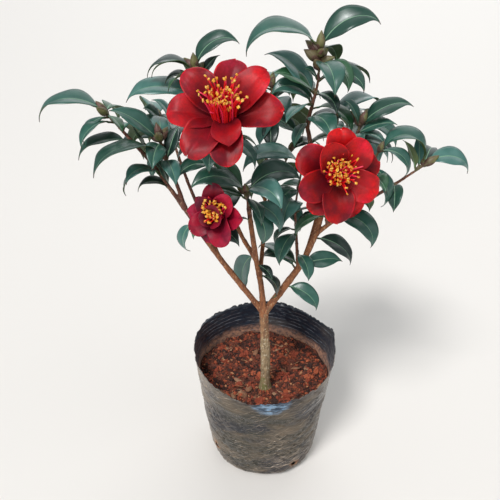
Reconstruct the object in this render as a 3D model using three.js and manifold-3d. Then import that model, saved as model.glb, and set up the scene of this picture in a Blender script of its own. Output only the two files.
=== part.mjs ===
// A young camellia shrub in the soft black film bag that nurseries raise it in: a bare trunk that
// forks just above the rim, slender boughs, masses of arching pointed leaves, three dark red blooms
// and clusters of scaly buds. Millimetres, +Z up, angles in degrees. The origin is the middle of
// the bag's flat underside, and the front, where the blooms face, is -Y.
import * as THREE from "three";
import { mergeVertices } from "three/addons/utils/BufferGeometryUtils.js";
import Module from "manifold-3d";

const wasm = await Module();
wasm.setup();

// The bag and its soil
const BAG_HEIGHT = 146;
const BAG_RIM_RADIUS = 80;
const BAG_FOOT_RADIUS = 63;
const BAG_FLARE = 0.85; // the power of the height by which it widens
const BAG_TUCK = 0.12; // the share of its radius that is drawn in at the very foot
const BAG_TUCK_HEIGHT = 12;
const BAG_OVAL = 0.012;
const BAG_WOBBLE = 0.006;
const BAG_WALL = 1.2;
const BAG_SIDES = 32;
const SOIL_TOP = 109;
const BAG_LEVELS = [0, 3, 10, 50, SOIL_TOP]; // heights of its rings, below the rim
const FLOOR_ROUND = 3; // the inside narrows by this at its floor
const RIM_TILT = 10; // the rim is higher at the back and lower at the front
const RIM_SAG = 3; // and sags at both
const RIM_WAVE = 1.3;
const SOIL_MOUND = 1.5;
const SOIL_INSETS = [9, 24, 42]; // rings of the soil's top, in from the bag's outside
const SOIL_LEVEL_RADIUS = 26; // the soil is level so far from the trunk's foot
const SOIL_SLOPE = 14;
const HOLE_RADIUS = 3.6;
const HOLES = [[-57, 16], [63, 24], [211, 24]]; // each at a bearing and a height

// What is common to the whole plant
const GAP = 0.3; // between a stub, or the soil, and what stands on it
const STUB = 13; // of the length of a limb, or of a stem on a limb's side, that its parent holds
const LIMB_SIDES = 6;
const LIMB_STEPS = 5;
const TWIG_SIDES = 3;
const TWIG_STEPS = 4;
const STEM_RADII = [1.5, 1.1];
const STEM_STRAIGHT = 6; // a stem on a limb's tip first runs straight on
const DIVERGENCE = 137.5; // round the stem from one leaf to the next
const TRIES = 6; // for a leaf to find a free place,
const TURN_ON = 29; // so far round each time

// How near another leaf's midrib may come to a leaf, a limb, a stem or a bloom
const LEAF_CLEARANCE = 6.5;
const LIMB_CLEARANCE = 5;
const STEM_CLEARANCE = 3;
const BLOOM_CLEARANCE = 0.92; // of its reach, round two spots ahead of its centre
const BLOOM_SPOTS = [0.2, 0.6];

// Each limb leaves a share of the way along its parent, passes through these points and tapers.
const FOOT = [1, -28, SOIL_TOP + GAP];
const ROOT_FLARE = 1.9;
const FLARE_HEIGHT = 4.5;
const TRUNK_SIDES = 8;
const TRUNK_STATIONS = [0, 0.035, 0.09, 0.3, 0.55, 0.8, 1];
const LIMBS = {
  trunk: { through: [FOOT, [0.5, -28.5, 160], [-1.5, -28, 211]], radii: [5.7, 4.4] },
  bough_left: {
    from: "trunk", at: 1, radii: [3.1, 2.2],
    through: [[-29, -37, 257], [-52, -45, 298], [-73, -52, 339]],
  },
  bough_left_outer: {
    from: "bough_left", at: 1, radii: [1.9, 1.4],
    through: [[-84, -51, 356], [-97, -48, 376], [-119, -44, 402]],
  },
  bough_left_inner: {
    from: "bough_left", at: 1, radii: [1.8, 1.5],
    through: [[-79, -50, 361], [-86, -47, 378]],
  },
  bough_left_back: {
    from: "bough_left", at: 0.6, radii: [1.9, 1.4],
    through: [[-58, -24, 310], [-76, 6, 340], [-88, 28, 364]],
  },
  bough_middle: {
    from: "trunk", at: 1, radii: [3, 2.2],
    through: [[-5, -30, 246], [-10, -33, 276], [-15, -42, 318], [-17, -48, 338]],
  },
  bough_bloom: {
    from: "bough_middle", at: 0.52, radii: [2.2, 1.6],
    through: [[-23, -24, 296], [-42, -14, 340], [-51, -12, 384], [-56, -20, 414]],
  },
  bough_back: {
    from: "bough_middle", at: 0.34, radii: [2.2, 1.5],
    through: [[-2, 0, 292], [0, 28, 346], [3, 44, 386]],
  },
  bough_right: {
    from: "trunk", at: 1, radii: [3.9, 2.7],
    through: [[20, -22, 241], [37, -16, 266], [49, -12, 296], [54, -10, 318]],
  },
  bough_leader: {
    from: "bough_right", at: 1, radii: [2.6, 2.1],
    through: [[51, -1, 346], [42, 3, 374], [38, 3, 391]],
  },
  bough_right_outer: {
    from: "bough_right", at: 0.8, radii: [2.2, 1.6],
    through: [[66, -20, 314], [90, -24, 333], [111, -20, 345]],
  },
  bough_right_mid: {
    from: "bough_right", at: 1, radii: [1.9, 1.5],
    through: [[66, -9, 342], [74, -8, 372]],
  },
  bough_right_back: {
    from: "bough_right", at: 0.62, radii: [2.1, 1.4],
    through: [[54, 14, 306], [70, 38, 340], [80, 52, 366]],
  },
};

// Single leaves that sit on the boughs themselves: place along the bough, then as in MASSES.
const BOUGH_LEAVES = {
  bough_left: [[0.89, 199, -24, 36, 103, -25]],
  bough_left_outer: [
    [0.62, 150, 66, 45, 18, 30], [0.9, 188, 19, 53, 62, -8], [0.55, 197, 8, 42, 88, -1],
    [0.43, 224, 60, 44, 108, -6], [0.25, 187, 58, 36, 109, -14], [0.29, 201, 86, 32, 38, -34],
  ],
  bough_left_inner: [[0.62, 23, 62, 44, 106, 20]],
  bough_bloom: [[0.25, 232, -5, 24, 64, 10]],
  bough_middle: [
    [0.47, -40, 4, 24, 58, 10], [0.37, -11, 4, 40, 130, 10], [0.57, 141, -36, 58, 80, -75],
    [0.88, 212, 44, 16, 57, 10],
  ],
  bough_right: [
    [0.3, -23, 10, 46, 75, 25], [0.52, 1, 21, 44, 24, 50], [0.77, -14, 6, 52, 72, 25],
    [0.97, 196, 27, 27, 68, 10], [0.5, 156, 51, 54, 109, -5],
    [0.46, 138, 52, 60, 78, 5],
  ],
  bough_right_outer: [[0.3, -40, 50, 62, 135, 10]],
};

// Each mass grows on from a limb's tip, or from a place along it, and its stem passes through the
// points given. shown holds the leaves that draw the crown's outline: place up the stem, bearing,
// climb, length, how far the blade bends over, and its roll. The others follow the divergence,
// from the bearing turn. A bloom ends its stem: its petals are given by their place round its face,
// their share of its reach, and how much further than the first ones they stand up.
const MASSES = {
  foliage_left_tip: {
    on: "bough_left_outer", through: [[-135, -38, 419]], leaves: 3, leafLength: 42, turn: 60,
    seed: 3, buds: 3,
    shown: [
      [0.96, 183, 45, 68, 95, -14], [0.8, 211, 7, 37, 88, -9], [0.9, 310, -4, 28, 30, -20],
    ],
  },
  foliage_left_inner: {
    on: "bough_left_inner", through: [[-91, -45, 400]], leaves: 5, leafLength: 46, turn: 80,
    seed: 5, buds: 5,
    shown: [
      [0.8, 194, 54, 50, 26, -40], [0.2, 222, 50, 79, 94, -3], [0.08, 24, 72, 34, 8, 30],
      [0.6, 100, 60, 44, 60, 10],
    ],
  },
  foliage_left_back: {
    on: "bough_left_back", through: [[-106, 48, 394]], leaves: 10, leafLength: 56, turn: 110,
    seed: 21, buds: 3,
    shown: [[0.89, 246, 45, 36, 14, -75], [0.49, 201, 112, 45, 79, -32]],
  },
  foliage_top_left: {
    on: "bough_bloom", through: [[-60, -30, 452]], leaves: 5, leafLength: 46, turn: 100,
    seed: 12, buds: 4,
    shown: [
      [0.97, 182, 42, 48, 92, -15], [0.86, 197, 57, 46, 107, 5], [0.99, 2, 80, 49, 96, 35],
      [0.33, 193, 36, 68, 62, -28], [0.54, 200, 70, 36, 105, -13], [0.73, 11, 56, 28, 10, 30],
    ],
  },
  foliage_bloom_large: {
    on: "bough_bloom", at: 0.8, leaves: 6, leafLength: 46, turn: 190, seed: 17, buds: 0,
    shown: [[0.45, 330, 5, 46, 70, 10]],
    bloom: {
      at: [-35, -76, 424], facing: [-94, 39], reach: 44.5, open: 11,
      petals: [
        [0, 1.04, 0], [42, 1.04, 9], [80, 1, 0], [137, 1, 9], [183, 1, 0], [236, 1.04, 0],
        [277, 1.03, 0], [281, 0.8, 14],
      ],
    },
  },
  foliage_bloom_small: {
    on: "bough_left", at: 0.82, leaves: 3, leafLength: 40, turn: 20, seed: 31, buds: 0,
    shown: [[0.5, 60, 50, 44, 60, 20]],
    bloom: {
      at: [-41, -72, 342], facing: [-113, 15], reach: 29.5, open: 25,
      petals: [
        [96, 1.05, 0], [50, 1, 9], [4, 1.03, 0], [306, 1.12, 9], [260, 0.92, 0], [218, 1, 9],
        [180, 0.97, 0], [140, 0.9, 9], [70, 0.72, 34], [200, 0.7, 34], [330, 0.72, 34],
      ],
    },
  },
  foliage_centre: {
    on: "bough_middle", through: [[-19, -54, 354]], leaves: 3, leafLength: 42, turn: 80,
    seed: 41, buds: 3,
    shown: [
      [0.95, 160, 58, 54, 34, -1], [0.92, 205, 63, 62, 90, -18], [0.59, 194, 35, 34, 20, -9],
      [0.91, 16, 62, 62, 104, 35], [1, -50, 50, 54, 98, 20], [0.11, -46, -5, 46, 112, 0],
    ],
  },
  foliage_centre_right: {
    on: "bough_right", at: 0.48, through: [[30, -12, 290], [28, -8, 320], [33, -5, 362]],
    leaves: 5, leafLength: 42, turn: 100, seed: 44, buds: 1,
    shown: [
      [1, 200, 54, 72, 97, -17], [0.63, -109, 54, 58, 108, -21], [0.39, 198, 30, 34, 126, 10],
      [0.8, -60, 20, 40, 70, 10],
    ],
  },
  foliage_leader: {
    on: "bough_leader", through: [[43, -2, 436], [43, -5, 464]], leaves: 6, leafLength: 48,
    turn: 60, seed: 51, buds: 8,
    shown: [
      [1, 184, 54, 80, 110, -20], [0.99, -4, 72, 62, 90, 45], [0.39, 160, 74, 66, 60, -19],
      [0.83, -79, 23, 56, 86, 0], [0.65, 12, 44, 58, 88, 12], [0.34, 184, 76, 50, 118, -31],
      [0.36, 229, 15, 44, 52, 20], [0.16, -70, 38, 56, 90, 10], [0.49, -53, 22, 36, 90, 10],
      [0.49, 189, 50, 46, 42, -23], [0.66, 221, 50, 22, 30, -57], [0.14, 236, 0, 34, 70, 10],
    ],
  },
  foliage_right_inner: {
    on: "bough_leader", at: 0.4, through: [[61, 5, 396]], leaves: 3, leafLength: 42, turn: 100,
    seed: 58, buds: 1,
    shown: [[1, 21, 74, 65, 108, 10]],
  },
  foliage_right_mid: {
    on: "bough_right_mid", through: [[83, -8, 402]], leaves: 4, leafLength: 46, turn: 80,
    seed: 61, buds: 2,
    shown: [
      [0.86, -2, 59, 55, 62, 20], [0.69, -20, 40, 38, 34, 28], [0.9, 215, 69, 35, 30, -67],
      [0.54, -31, 50, 36, 110, 10],
    ],
  },
  foliage_right_tip: {
    on: "bough_right_outer", through: [[142, -20, 368]], leaves: 2, leafLength: 38, turn: 90,
    seed: 71, buds: 2,
    shown: [
      [0.95, 184, 104, 66, 162, -22], [0.97, 4, 44, 54, 103, 25], [0.78, 171, 70, 32, 10, 30],
      [0.85, 94, 72, 34, 10, 10],
    ],
  },
  foliage_right_low: {
    on: "bough_right_outer", at: 0.5, through: [[94, -38, 386]], leaves: 3, leafLength: 42,
    turn: 80, seed: 75, buds: 1,
    shown: [[1, -16, 22, 42, 120, 10], [0.79, -40, -21, 46, 88, 10]],
  },
  foliage_bloom_right: {
    on: "bough_right_outer", at: 0.2, leaves: 4, leafLength: 42, turn: 120, seed: 81, buds: 0,
    shown: [],
    bloom: {
      at: [52, -68, 375], facing: [-79, 9], reach: 39, open: 11,
      petals: [
        [86, 1.04, 0], [56, 1.02, 12], [17, 0.98, 0], [338, 1.02, 9], [297, 0.98, 0],
        [268, 1.04, 9], [233, 0.95, 0], [196, 0.98, 9], [146, 1.04, 0], [114, 0.98, 20],
      ],
    },
  },
  foliage_right_back: {
    on: "bough_right_back", through: [[90, 66, 392]], leaves: 11, leafLength: 56, turn: 40,
    seed: 91, buds: 3, shown: [],
  },
  foliage_back: {
    on: "bough_back", through: [[6, 62, 424]], leaves: 10, leafLength: 58, turn: 90, seed: 101,
    buds: 4, shown: [[0.35, 250, -30, 43, 8, 10], [0.29, 320, -14, 38, 8, 30], [0.2, 271, -3, 43, 68, 10]],
  },
  foliage_back_low: {
    on: "bough_back", at: 0.45, through: [[26, 56, 358]], leaves: 8, leafLength: 52, turn: 20,
    seed: 111, buds: 1, shown: [],
  },
};

// The leaf: a short petiole, then a blade folded up along its midrib, worked out in fine steps and
// built at a few of them.
const LEAF_STEPS = 24;
const LEAF_STATIONS = [0, 4, 10, 17, 24];
const PETIOLE_STEPS = 3;
const PETIOLE_HALF = 0.9;
const LEAF_HALF_SHARE = 0.2; // of the length, at the widest
const LEAF_WIDEST = 0.42;
const LEAF_FOLD = 12;
const LEAF_THICK = 1.1;
const LEAF_THINS = 0.4; // of its thickness, by the tip
const LEAF_SUNK = 1; // the petiole starts this far inside its stem
const TIP_CURL = 40; // how much further than the bend the tip turns down

// The leaves that follow the divergence, from the highest place up the stem to the lowest
const LEAF_PLACES = [0.97, 0.15];
const HIGHEST_BY_BLOOM = 0.8;
const LEAST_CLIMB = 12;
const CLIMB_UP_STEM = 40; // up to this much more at the stem's tip
const CLIMB_SPREAD = 8;
const LEAF_SIZES = [0.82, 1.16]; // of the mass's leafLength
const LEAF_BENDS = [60, 110];
const LEAF_ROLLS = [-25, 25];
const STEM_SWAY = 0.7; // how much the leaves splay the way their stem leans

const BUD_LENGTH = 12.5;
const BUD_RADIUS = 3.2;
const BUD_SIDES = 4;
const BUD_WIDEST = 0.42;
const BUD_SPLAYS = [46, 70]; // of all but the first, which points up the stem
const BUD_SIZES = [0.85, 1.2];
const BUD_SPACING = 0.03; // down the stem from one to the next
const BUD_SUNK = 1.2;

const PETAL_STEPS = 20;
const PETAL_STATIONS = [0, 8, 15];
const PETAL_WIDEST = 0.6;
const PETAL_HALF_SHARE = 0.33;
const PETAL_ROOT_SHARE = 0.24; // of its widest
const PETAL_THICK = 1.8;
const PETAL_CUP = 24; // a petal rises this much more up to its middle
const PETAL_BEND = 28; // and leans back this much towards its tip
const PETAL_DISH = 0.25; // its edges stand up by this share of its half width
const PETAL_AHEAD = 1 / 12; // for each degree that it is raised, its root moves ahead

// Distances ahead of a bloom's centre, and radii
const STAMENS_START = -3;
const STAMENS_REACH = 0.62; // of the bloom's reach
const STAMENS_RADIUS = 0.24; // of the bloom's reach
const STAMENS_WIDEST = 0.85;
const CALYX = [[-9, 1.6], [-3.8, 5], [4, 4.2]];
const CALYX_SIDES = 6;
const BLOOM_STEM_END = -7;
const BLOOM_STEM_BOW = -14;

const COLOURS = {
  bag: { color: 0x26292d, roughness: 0.4, metalness: 0 },
  soil: { color: 0x7a3f2a, roughness: 0.95, metalness: 0 },
  bark: { color: 0x7d5236, roughness: 0.85, metalness: 0 },
  leaf: { color: 0x2f5e50, roughness: 0.4, metalness: 0 },
  bloom: { color: 0x7c1623, roughness: 0.6, metalness: 0 },
};

const { degToRad: radians, radToDeg: degrees, lerp } = THREE.MathUtils;
const point = (coordinates) => new THREE.Vector3(...coordinates);

// The unit vector on a bearing (anticlockwise from +X, seen from above) at a climb.
function toward(bearing, climb) {
  const flat = Math.cos(radians(climb));
  return new THREE.Vector3(
    Math.cos(radians(bearing)) * flat, Math.sin(radians(bearing)) * flat, Math.sin(radians(climb)),
  );
}

// Repeatable draws from 0 to 1.
function draws(seed) {
  let state = (seed * 2654435761) >>> 0;
  return () => {
    state = (Math.imul(state, 1664525) + 1013904223) >>> 0;
    return state / 2 ** 32;
  };
}

function solid(geometry) {
  const merged = mergeVertices(geometry, 1e-4);
  return new wasm.Manifold(new wasm.Mesh({
    numProp: 3,
    vertProperties: merged.attributes.position.array,
    triVerts: new Uint32Array(merged.index.array),
  }));
}

// A closed solid over rings of points, which run anticlockwise about the way from the first ring
// to the last. A ring of one point is a tip.
function loft(rings) {
  const index = [];
  const starts = [];
  const points = [];
  for (const ring of rings) {
    starts.push(points.length);
    points.push(...ring);
  }
  const cap = (ring, start, flip) => {
    for (let k = 1; k < ring.length - 1; k++) {
      index.push(start, start + (flip ? k + 1 : k), start + (flip ? k : k + 1));
    }
  };
  cap(rings[0], starts[0], true);
  for (let i = 1; i < rings.length; i++) {
    const [low, high] = [starts[i - 1], starts[i]];
    const [lowCount, highCount] = [rings[i - 1].length, rings[i].length];
    for (let k = 0; k < Math.max(lowCount, highCount); k++) {
      const next = k + 1;
      if (lowCount > 1) index.push(low + k, low + (next % lowCount), high + (next % highCount));
      if (highCount > 1) index.push(low + (k % lowCount), high + (next % highCount), high + k);
    }
  }
  cap(rings.at(-1), starts.at(-1), false);
  const geometry = new THREE.BufferGeometry().setFromPoints(points);
  geometry.setIndex(index);
  return solid(geometry);
}

// A tapering limb along a smooth path.
class Limb {
  constructor(points, radii) {
    this.path = new THREE.CatmullRomCurve3(points, false, "centripetal");
    this.length = this.path.getLength();
    this.radii = radii;
    const chord = points.at(-1).clone().sub(points[0]);
    const sideways = Math.abs(chord.x) < Math.abs(chord.y);
    this.across = sideways ? new THREE.Vector3(1, 0, 0) : new THREE.Vector3(0, 1, 0);
  }

  at(share) {
    return this.path.getPointAt(Math.min(Math.max(share, 0), 1));
  }

  heading(share) {
    return this.path.getTangentAt(Math.min(Math.max(share, 0), 1));
  }

  radius(share) {
    return lerp(this.radii[0], this.radii[1], share);
  }

  ring(share, radius, sides) {
    const heading = this.heading(share);
    const u = this.across.clone().cross(heading).normalize();
    const v = heading.clone().cross(u);
    return Array.from({ length: sides }, (_, k) => {
      const turn = (2 * Math.PI * k) / sides;
      return this.at(share)
        .addScaledVector(u, radius * Math.cos(turn))
        .addScaledVector(v, radius * Math.sin(turn));
    });
  }

  // The stretch between two distances along the path.
  stretch(from, to, sides, steps) {
    return loft(Array.from({ length: steps + 1 }, (_, i) => {
      const share = lerp(from, to, i / steps) / this.length;
      return this.ring(share, this.radius(share), sides);
    }));
  }
}

// A round body on an axis, by its radius at each distance along it. A radius of 0 is a tip.
function turned(centre, axis, profile, sides) {
  const ahead = (distance) => centre.clone().addScaledVector(axis, distance);
  const [start, end] = [profile[0][0], profile.at(-1)[0]];
  const middle = new Limb([ahead(start), ahead(end)], [1, 1]);
  return loft(profile.map(([distance, radius]) => {
    const share = (distance - start) / (end - start);
    return radius > 0 ? middle.ring(share, radius, sides) : [middle.at(share)];
  }));
}

function growLimbs() {
  const grown = {};
  for (const [name, { from, at, through, radii }] of Object.entries(LIMBS)) {
    const start = from ? [grown[from].at(at)] : [];
    grown[name] = new Limb([...start, ...through.map(point)], radii);
  }
  return grown;
}

// The trunk stands on a level cut and flares out just above it.
function trunkShape(trunk) {
  return loft(TRUNK_STATIONS.map((share) => {
    const flare = ROOT_FLARE * Math.exp((-share * trunk.length) / FLARE_HEIGHT);
    const ring = trunk.ring(share, trunk.radius(share) + flare, TRUNK_SIDES);
    if (share === 0) ring.forEach((p) => p.setZ(FOOT[2]));
    return ring;
  }));
}

// A leaf's midrib: its points from root to tip, and the way it heads at each.
function midrib({ root, bearing, climb, length, bend }) {
  const points = [root.clone()];
  const headings = [toward(bearing, climb)];
  for (let i = 0; i < LEAF_STEPS; i++) {
    const share = (i + 0.5) / LEAF_STEPS;
    const heading = toward(bearing, climb - bend * share - TIP_CURL * share ** 6);
    points.push(points[i].clone().addScaledVector(heading, length / LEAF_STEPS));
    headings.push(heading);
  }
  return { points, headings };
}

function leafHalf(step, length) {
  const share = (step - PETIOLE_STEPS) / (LEAF_STEPS - PETIOLE_STEPS);
  if (share <= 0) return PETIOLE_HALF;
  const rise = (share / LEAF_WIDEST) ** 0.9;
  const fall = ((1 - share) / (1 - LEAF_WIDEST)) ** 1.25;
  return Math.max(PETIOLE_HALF * (1 - share), length * LEAF_HALF_SHARE * rise * fall);
}

function leafShape(leaf) {
  const { points, headings } = midrib(leaf);
  return loft(LEAF_STATIONS.map((step) => {
    const along = headings[step];
    if (step === 0) return [points[0].clone().addScaledVector(along, -LEAF_SUNK)];
    if (step === LEAF_STEPS) return [points[step]];
    const side = toward(leaf.bearing + 90, 0).applyAxisAngle(along, radians(leaf.roll));
    const up = along.clone().cross(side);
    const half = leafHalf(step, leaf.length);
    const thick = (LEAF_THICK * (1 - (LEAF_THINS * step) / LEAF_STEPS)) / 2;
    const place = (across, over) => points[step].clone()
      .addScaledVector(side, across)
      .addScaledVector(up, over);
    const reach = half * Math.cos(radians(LEAF_FOLD));
    const lift = half * Math.sin(radians(LEAF_FOLD));
    return [place(reach, lift), place(0, thick), place(-reach, lift), place(0, -thick)];
  }));
}

// Spots down the blade that stand for it when leaves are kept apart.
function leafSpots(leaf) {
  return midrib(leaf).points.filter((_, step) => step >= 6 && step % 3 === 0);
}

function petalHalf(share, half) {
  if (share < PETAL_WIDEST) {
    const grown = Math.sin((Math.PI / 2) * (share / PETAL_WIDEST));
    return half * lerp(PETAL_ROOT_SHARE, 1, grown);
  }
  return half * Math.sqrt(1 - ((share - PETAL_WIDEST) / (1 - PETAL_WIDEST)) ** 2);
}

// One cupped petal, rooted at a bloom's centre and reaching out along one way across its face.
function petalShape(centre, axis, out, length, open) {
  const side = axis.clone().cross(out);
  const spot = centre.clone();
  const rings = [];
  for (let i = 0; i <= PETAL_STEPS; i++) {
    const share = i / PETAL_STEPS;
    const climb = radians(open + PETAL_CUP * Math.sin(Math.PI * share) - PETAL_BEND * share);
    const along = out.clone().multiplyScalar(Math.cos(climb)).addScaledVector(axis, Math.sin(climb));
    const up = along.clone().cross(side);
    const half = petalHalf(share, length * PETAL_HALF_SHARE);
    const place = (across, lift) => spot.clone()
      .addScaledVector(side, across * half)
      .addScaledVector(up, PETAL_DISH * half * across ** 2 + lift);
    const thick = PETAL_THICK / 2;
    if (i === PETAL_STEPS) {
      rings.push([spot.clone()]);
    } else if (PETAL_STATIONS.includes(i)) {
      rings.push([
        place(1, 0), place(0.4, thick), place(-0.4, thick),
        place(-1, 0), place(-0.4, -thick), place(0.4, -thick),
      ]);
    }
    spot.addScaledVector(along, length / PETAL_STEPS);
  }
  return loft(rings);
}

// A bloom: a whorl of petals round a column of stamens, on a small calyx.
function bloomShapes({ at, facing, reach, open, petals }) {
  const axis = toward(...facing);
  const right = toward(facing[0] + 90, 0);
  const over = axis.clone().cross(right);
  const centre = point(at);
  const shapes = petals.map(([round, share, raised]) => {
    const out = right.clone()
      .multiplyScalar(Math.cos(radians(round)))
      .addScaledVector(over, Math.sin(radians(round)));
    const root = centre.clone().addScaledVector(axis, raised * PETAL_AHEAD);
    return petalShape(root, axis, out, share * reach, open + raised);
  });
  const stamensEnd = reach * STAMENS_REACH;
  const radius = reach * STAMENS_RADIUS;
  const column = [
    [STAMENS_START, radius / 2],
    [lerp(STAMENS_START, stamensEnd, STAMENS_WIDEST), radius],
    [stamensEnd, 0],
  ];
  shapes.push(turned(centre, axis, column, CALYX_SIDES), turned(centre, axis, CALYX, CALYX_SIDES));
  return shapes;
}

// A mass's stem, from just past its limb's tip or from a stub on its limb's side.
function massStem(spec, limb) {
  const share = spec.at ?? 1;
  const root = limb.at(share);
  const points = [root];
  if (share === 1) points.push(root.clone().addScaledVector(limb.heading(1), STEM_STRAIGHT));
  if (spec.bloom) {
    const axis = toward(...spec.bloom.facing);
    const centre = point(spec.bloom.at);
    points.push(root.clone().lerp(centre, 0.55).addScaledVector(axis, BLOOM_STEM_BOW));
    points.push(centre.clone().addScaledVector(axis, BLOOM_STEM_END));
  } else {
    points.push(...spec.through.map(point));
  }
  return new Limb(points, STEM_RADII);
}

// What stands so far: every node's solids, by name, and the spots that new leaves keep clear of
const shapes = {};
const spots = [];

function add(name, shape) {
  shapes[name] ??= [];
  shapes[name].push(shape);
}

function markAlong(limb, spacing, clearance) {
  for (let share = spacing; share <= 1; share += spacing) {
    spots.push({ spot: limb.at(share), clearance });
  }
}

function addLimb(name, limb) {
  const { from } = LIMBS[name];
  if (from) {
    add(from, limb.stretch(0, STUB, LIMB_SIDES, 1));
    add(name, limb.stretch(STUB + GAP, limb.length, LIMB_SIDES, LIMB_STEPS));
  } else {
    add(name, trunkShape(limb));
  }
  markAlong(limb, 0.04, LIMB_CLEARANCE);
}

function addStem(name, spec, stem) {
  const onSide = spec.at !== undefined;
  if (onSide) add(spec.on, stem.stretch(0, STUB, TWIG_SIDES, 1));
  const start = onSide ? STUB + GAP : GAP;
  add(name, stem.stretch(start, stem.length, TWIG_SIDES, TWIG_STEPS));
  markAlong(stem, 0.1, STEM_CLEARANCE);
}

function addBloom(name, bloom) {
  bloomShapes(bloom).forEach((shape) => add(name, shape));
  for (const ahead of BLOOM_SPOTS) {
    const spot = point(bloom.at).addScaledVector(toward(...bloom.facing), ahead * bloom.reach);
    spots.push({ spot, clearance: BLOOM_CLEARANCE * bloom.reach });
  }
}

// Buds in a cluster at the stem's tip, the first along it and the others splayed round it.
function addBuds(name, spec, stem) {
  const draw = draws(spec.seed + 7);
  const heading = stem.heading(1);
  for (let k = 0; k < spec.buds; k++) {
    const splay = k === 0 ? 0 : radians(lerp(...BUD_SPLAYS, draw()));
    const away = toward(k * DIVERGENCE, 0).projectOnPlane(heading).normalize();
    const way = heading.clone()
      .multiplyScalar(Math.cos(splay))
      .addScaledVector(away, Math.sin(splay));
    const size = lerp(...BUD_SIZES, draw());
    const root = stem.at(1 - BUD_SPACING * k).addScaledVector(way, -BUD_SUNK);
    const length = BUD_LENGTH * size;
    const radius = BUD_RADIUS * size;
    const profile = [[0, radius / 2], [BUD_WIDEST * length, radius], [length, 0]];
    add(name, turned(root, way, profile, BUD_SIDES));
  }
}

function shownLeaf(limb, [share, bearing, climb, length, bend, roll]) {
  return { root: limb.at(share), bearing, climb, length, bend, roll };
}

function isClear(leaf) {
  return leafSpots(leaf).every(
    (place) => spots.every(({ spot, clearance }) => place.distanceTo(spot) > clearance),
  );
}

// Whether a solid touches one that belongs to another node.
function touchesOthers(name, shape) {
  const box = shape.boundingBox();
  const apart = (other) => [0, 1, 2].some(
    (axis) => box.min[axis] > other.max[axis] + GAP || other.min[axis] > box.max[axis] + GAP,
  );
  const touches = (held) => !apart(held.boundingBox()) && shape.minGap(held, GAP) < GAP;
  return Object.entries(shapes).some(([other, held]) => other !== name && held.some(touches));
}

function placeLeaf(name, leaf) {
  const shape = leafShape(leaf);
  if (touchesOthers(name, shape)) return false;
  add(name, shape);
  leafSpots(leaf).forEach((spot) => spots.push({ spot, clearance: LEAF_CLEARANCE }));
  return true;
}

// The leaves that follow the divergence, each turned on until it finds a free place.
function addRuleLeaves(name, spec, stem) {
  const draw = draws(spec.seed);
  const lean = stem.at(1).sub(stem.at(0));
  const sway = lean.clone().setZ(0).multiplyScalar(STEM_SWAY);
  const highest = spec.bloom ? HIGHEST_BY_BLOOM : LEAF_PLACES[0];
  for (let k = 0; k < spec.leaves; k++) {
    const share = lerp(highest, LEAF_PLACES[1], k / Math.max(spec.leaves - 1, 1));
    const root = stem.at(share);
    const climb = LEAST_CLIMB + CLIMB_UP_STEM * share * draw() + CLIMB_SPREAD * draw();
    const length = spec.leafLength * lerp(...LEAF_SIZES, draw());
    const bend = lerp(...LEAF_BENDS, draw());
    const roll = lerp(...LEAF_ROLLS, draw());
    for (let attempt = 0; attempt < TRIES; attempt++) {
      const turn = spec.turn + k * DIVERGENCE + attempt * TURN_ON;
      const out = toward(turn, 0).multiplyScalar(lean.length()).add(sway);
      const leaf = { root, bearing: degrees(Math.atan2(out.y, out.x)), climb, length, bend, roll };
      if (isClear(leaf) && placeLeaf(name, leaf)) break;
    }
  }
}

// The bag: a soft round film wall, drawn in at the foot, with a torn, wavy, tilted rim.
function bagRadius(height, bearing) {
  const grown = lerp(BAG_FOOT_RADIUS, BAG_RIM_RADIUS, (height / BAG_HEIGHT) ** BAG_FLARE);
  const tucked = 1 - BAG_TUCK * Math.max(0, 1 - height / BAG_TUCK_HEIGHT) ** 2.2;
  const sag = 1 + BAG_OVAL * Math.cos(2 * bearing + 1) + BAG_WOBBLE * Math.sin(5 * bearing);
  return grown * tucked * sag;
}

function rimHeight(bearing) {
  const across = Math.sin(bearing);
  return BAG_HEIGHT + RIM_TILT * across - RIM_SAG * across ** 2 + RIM_WAVE * Math.sin(5 * bearing + 1);
}

// A ring of the bag, in from its outside, at a height that may vary with the bearing.
function bagRing(height, inset) {
  return Array.from({ length: BAG_SIDES }, (_, k) => {
    const bearing = (2 * Math.PI * k) / BAG_SIDES;
    const z = typeof height === "function" ? height(bearing) : height;
    const radius = bagRadius(z, bearing) - inset;
    return new THREE.Vector3(radius * Math.cos(bearing), radius * Math.sin(bearing), z);
  });
}

function drainHole([bearing, height]) {
  const drill = new THREE.CylinderGeometry(HOLE_RADIUS, HOLE_RADIUS, 14, 8);
  drill.deleteAttribute("normal");
  drill.deleteAttribute("uv");
  drill.rotateZ(Math.PI / 2);
  drill.translate(bagRadius(height, radians(bearing)), 0, height);
  drill.rotateZ(radians(bearing));
  return solid(drill);
}

function bagShape() {
  const inside = BAG_LEVELS.filter((height) => height > BAG_WALL).toReversed();
  const wall = loft([
    ...BAG_LEVELS.map((height) => bagRing(height, 0)),
    bagRing(rimHeight, 0),
    bagRing(rimHeight, BAG_WALL),
    ...inside.map((height) => bagRing(height, BAG_WALL)),
    bagRing(BAG_WALL, BAG_WALL + FLOOR_ROUND),
  ]);
  return HOLES.reduce((bag, hole) => bag.subtract(drainHole(hole)), wall);
}

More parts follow.
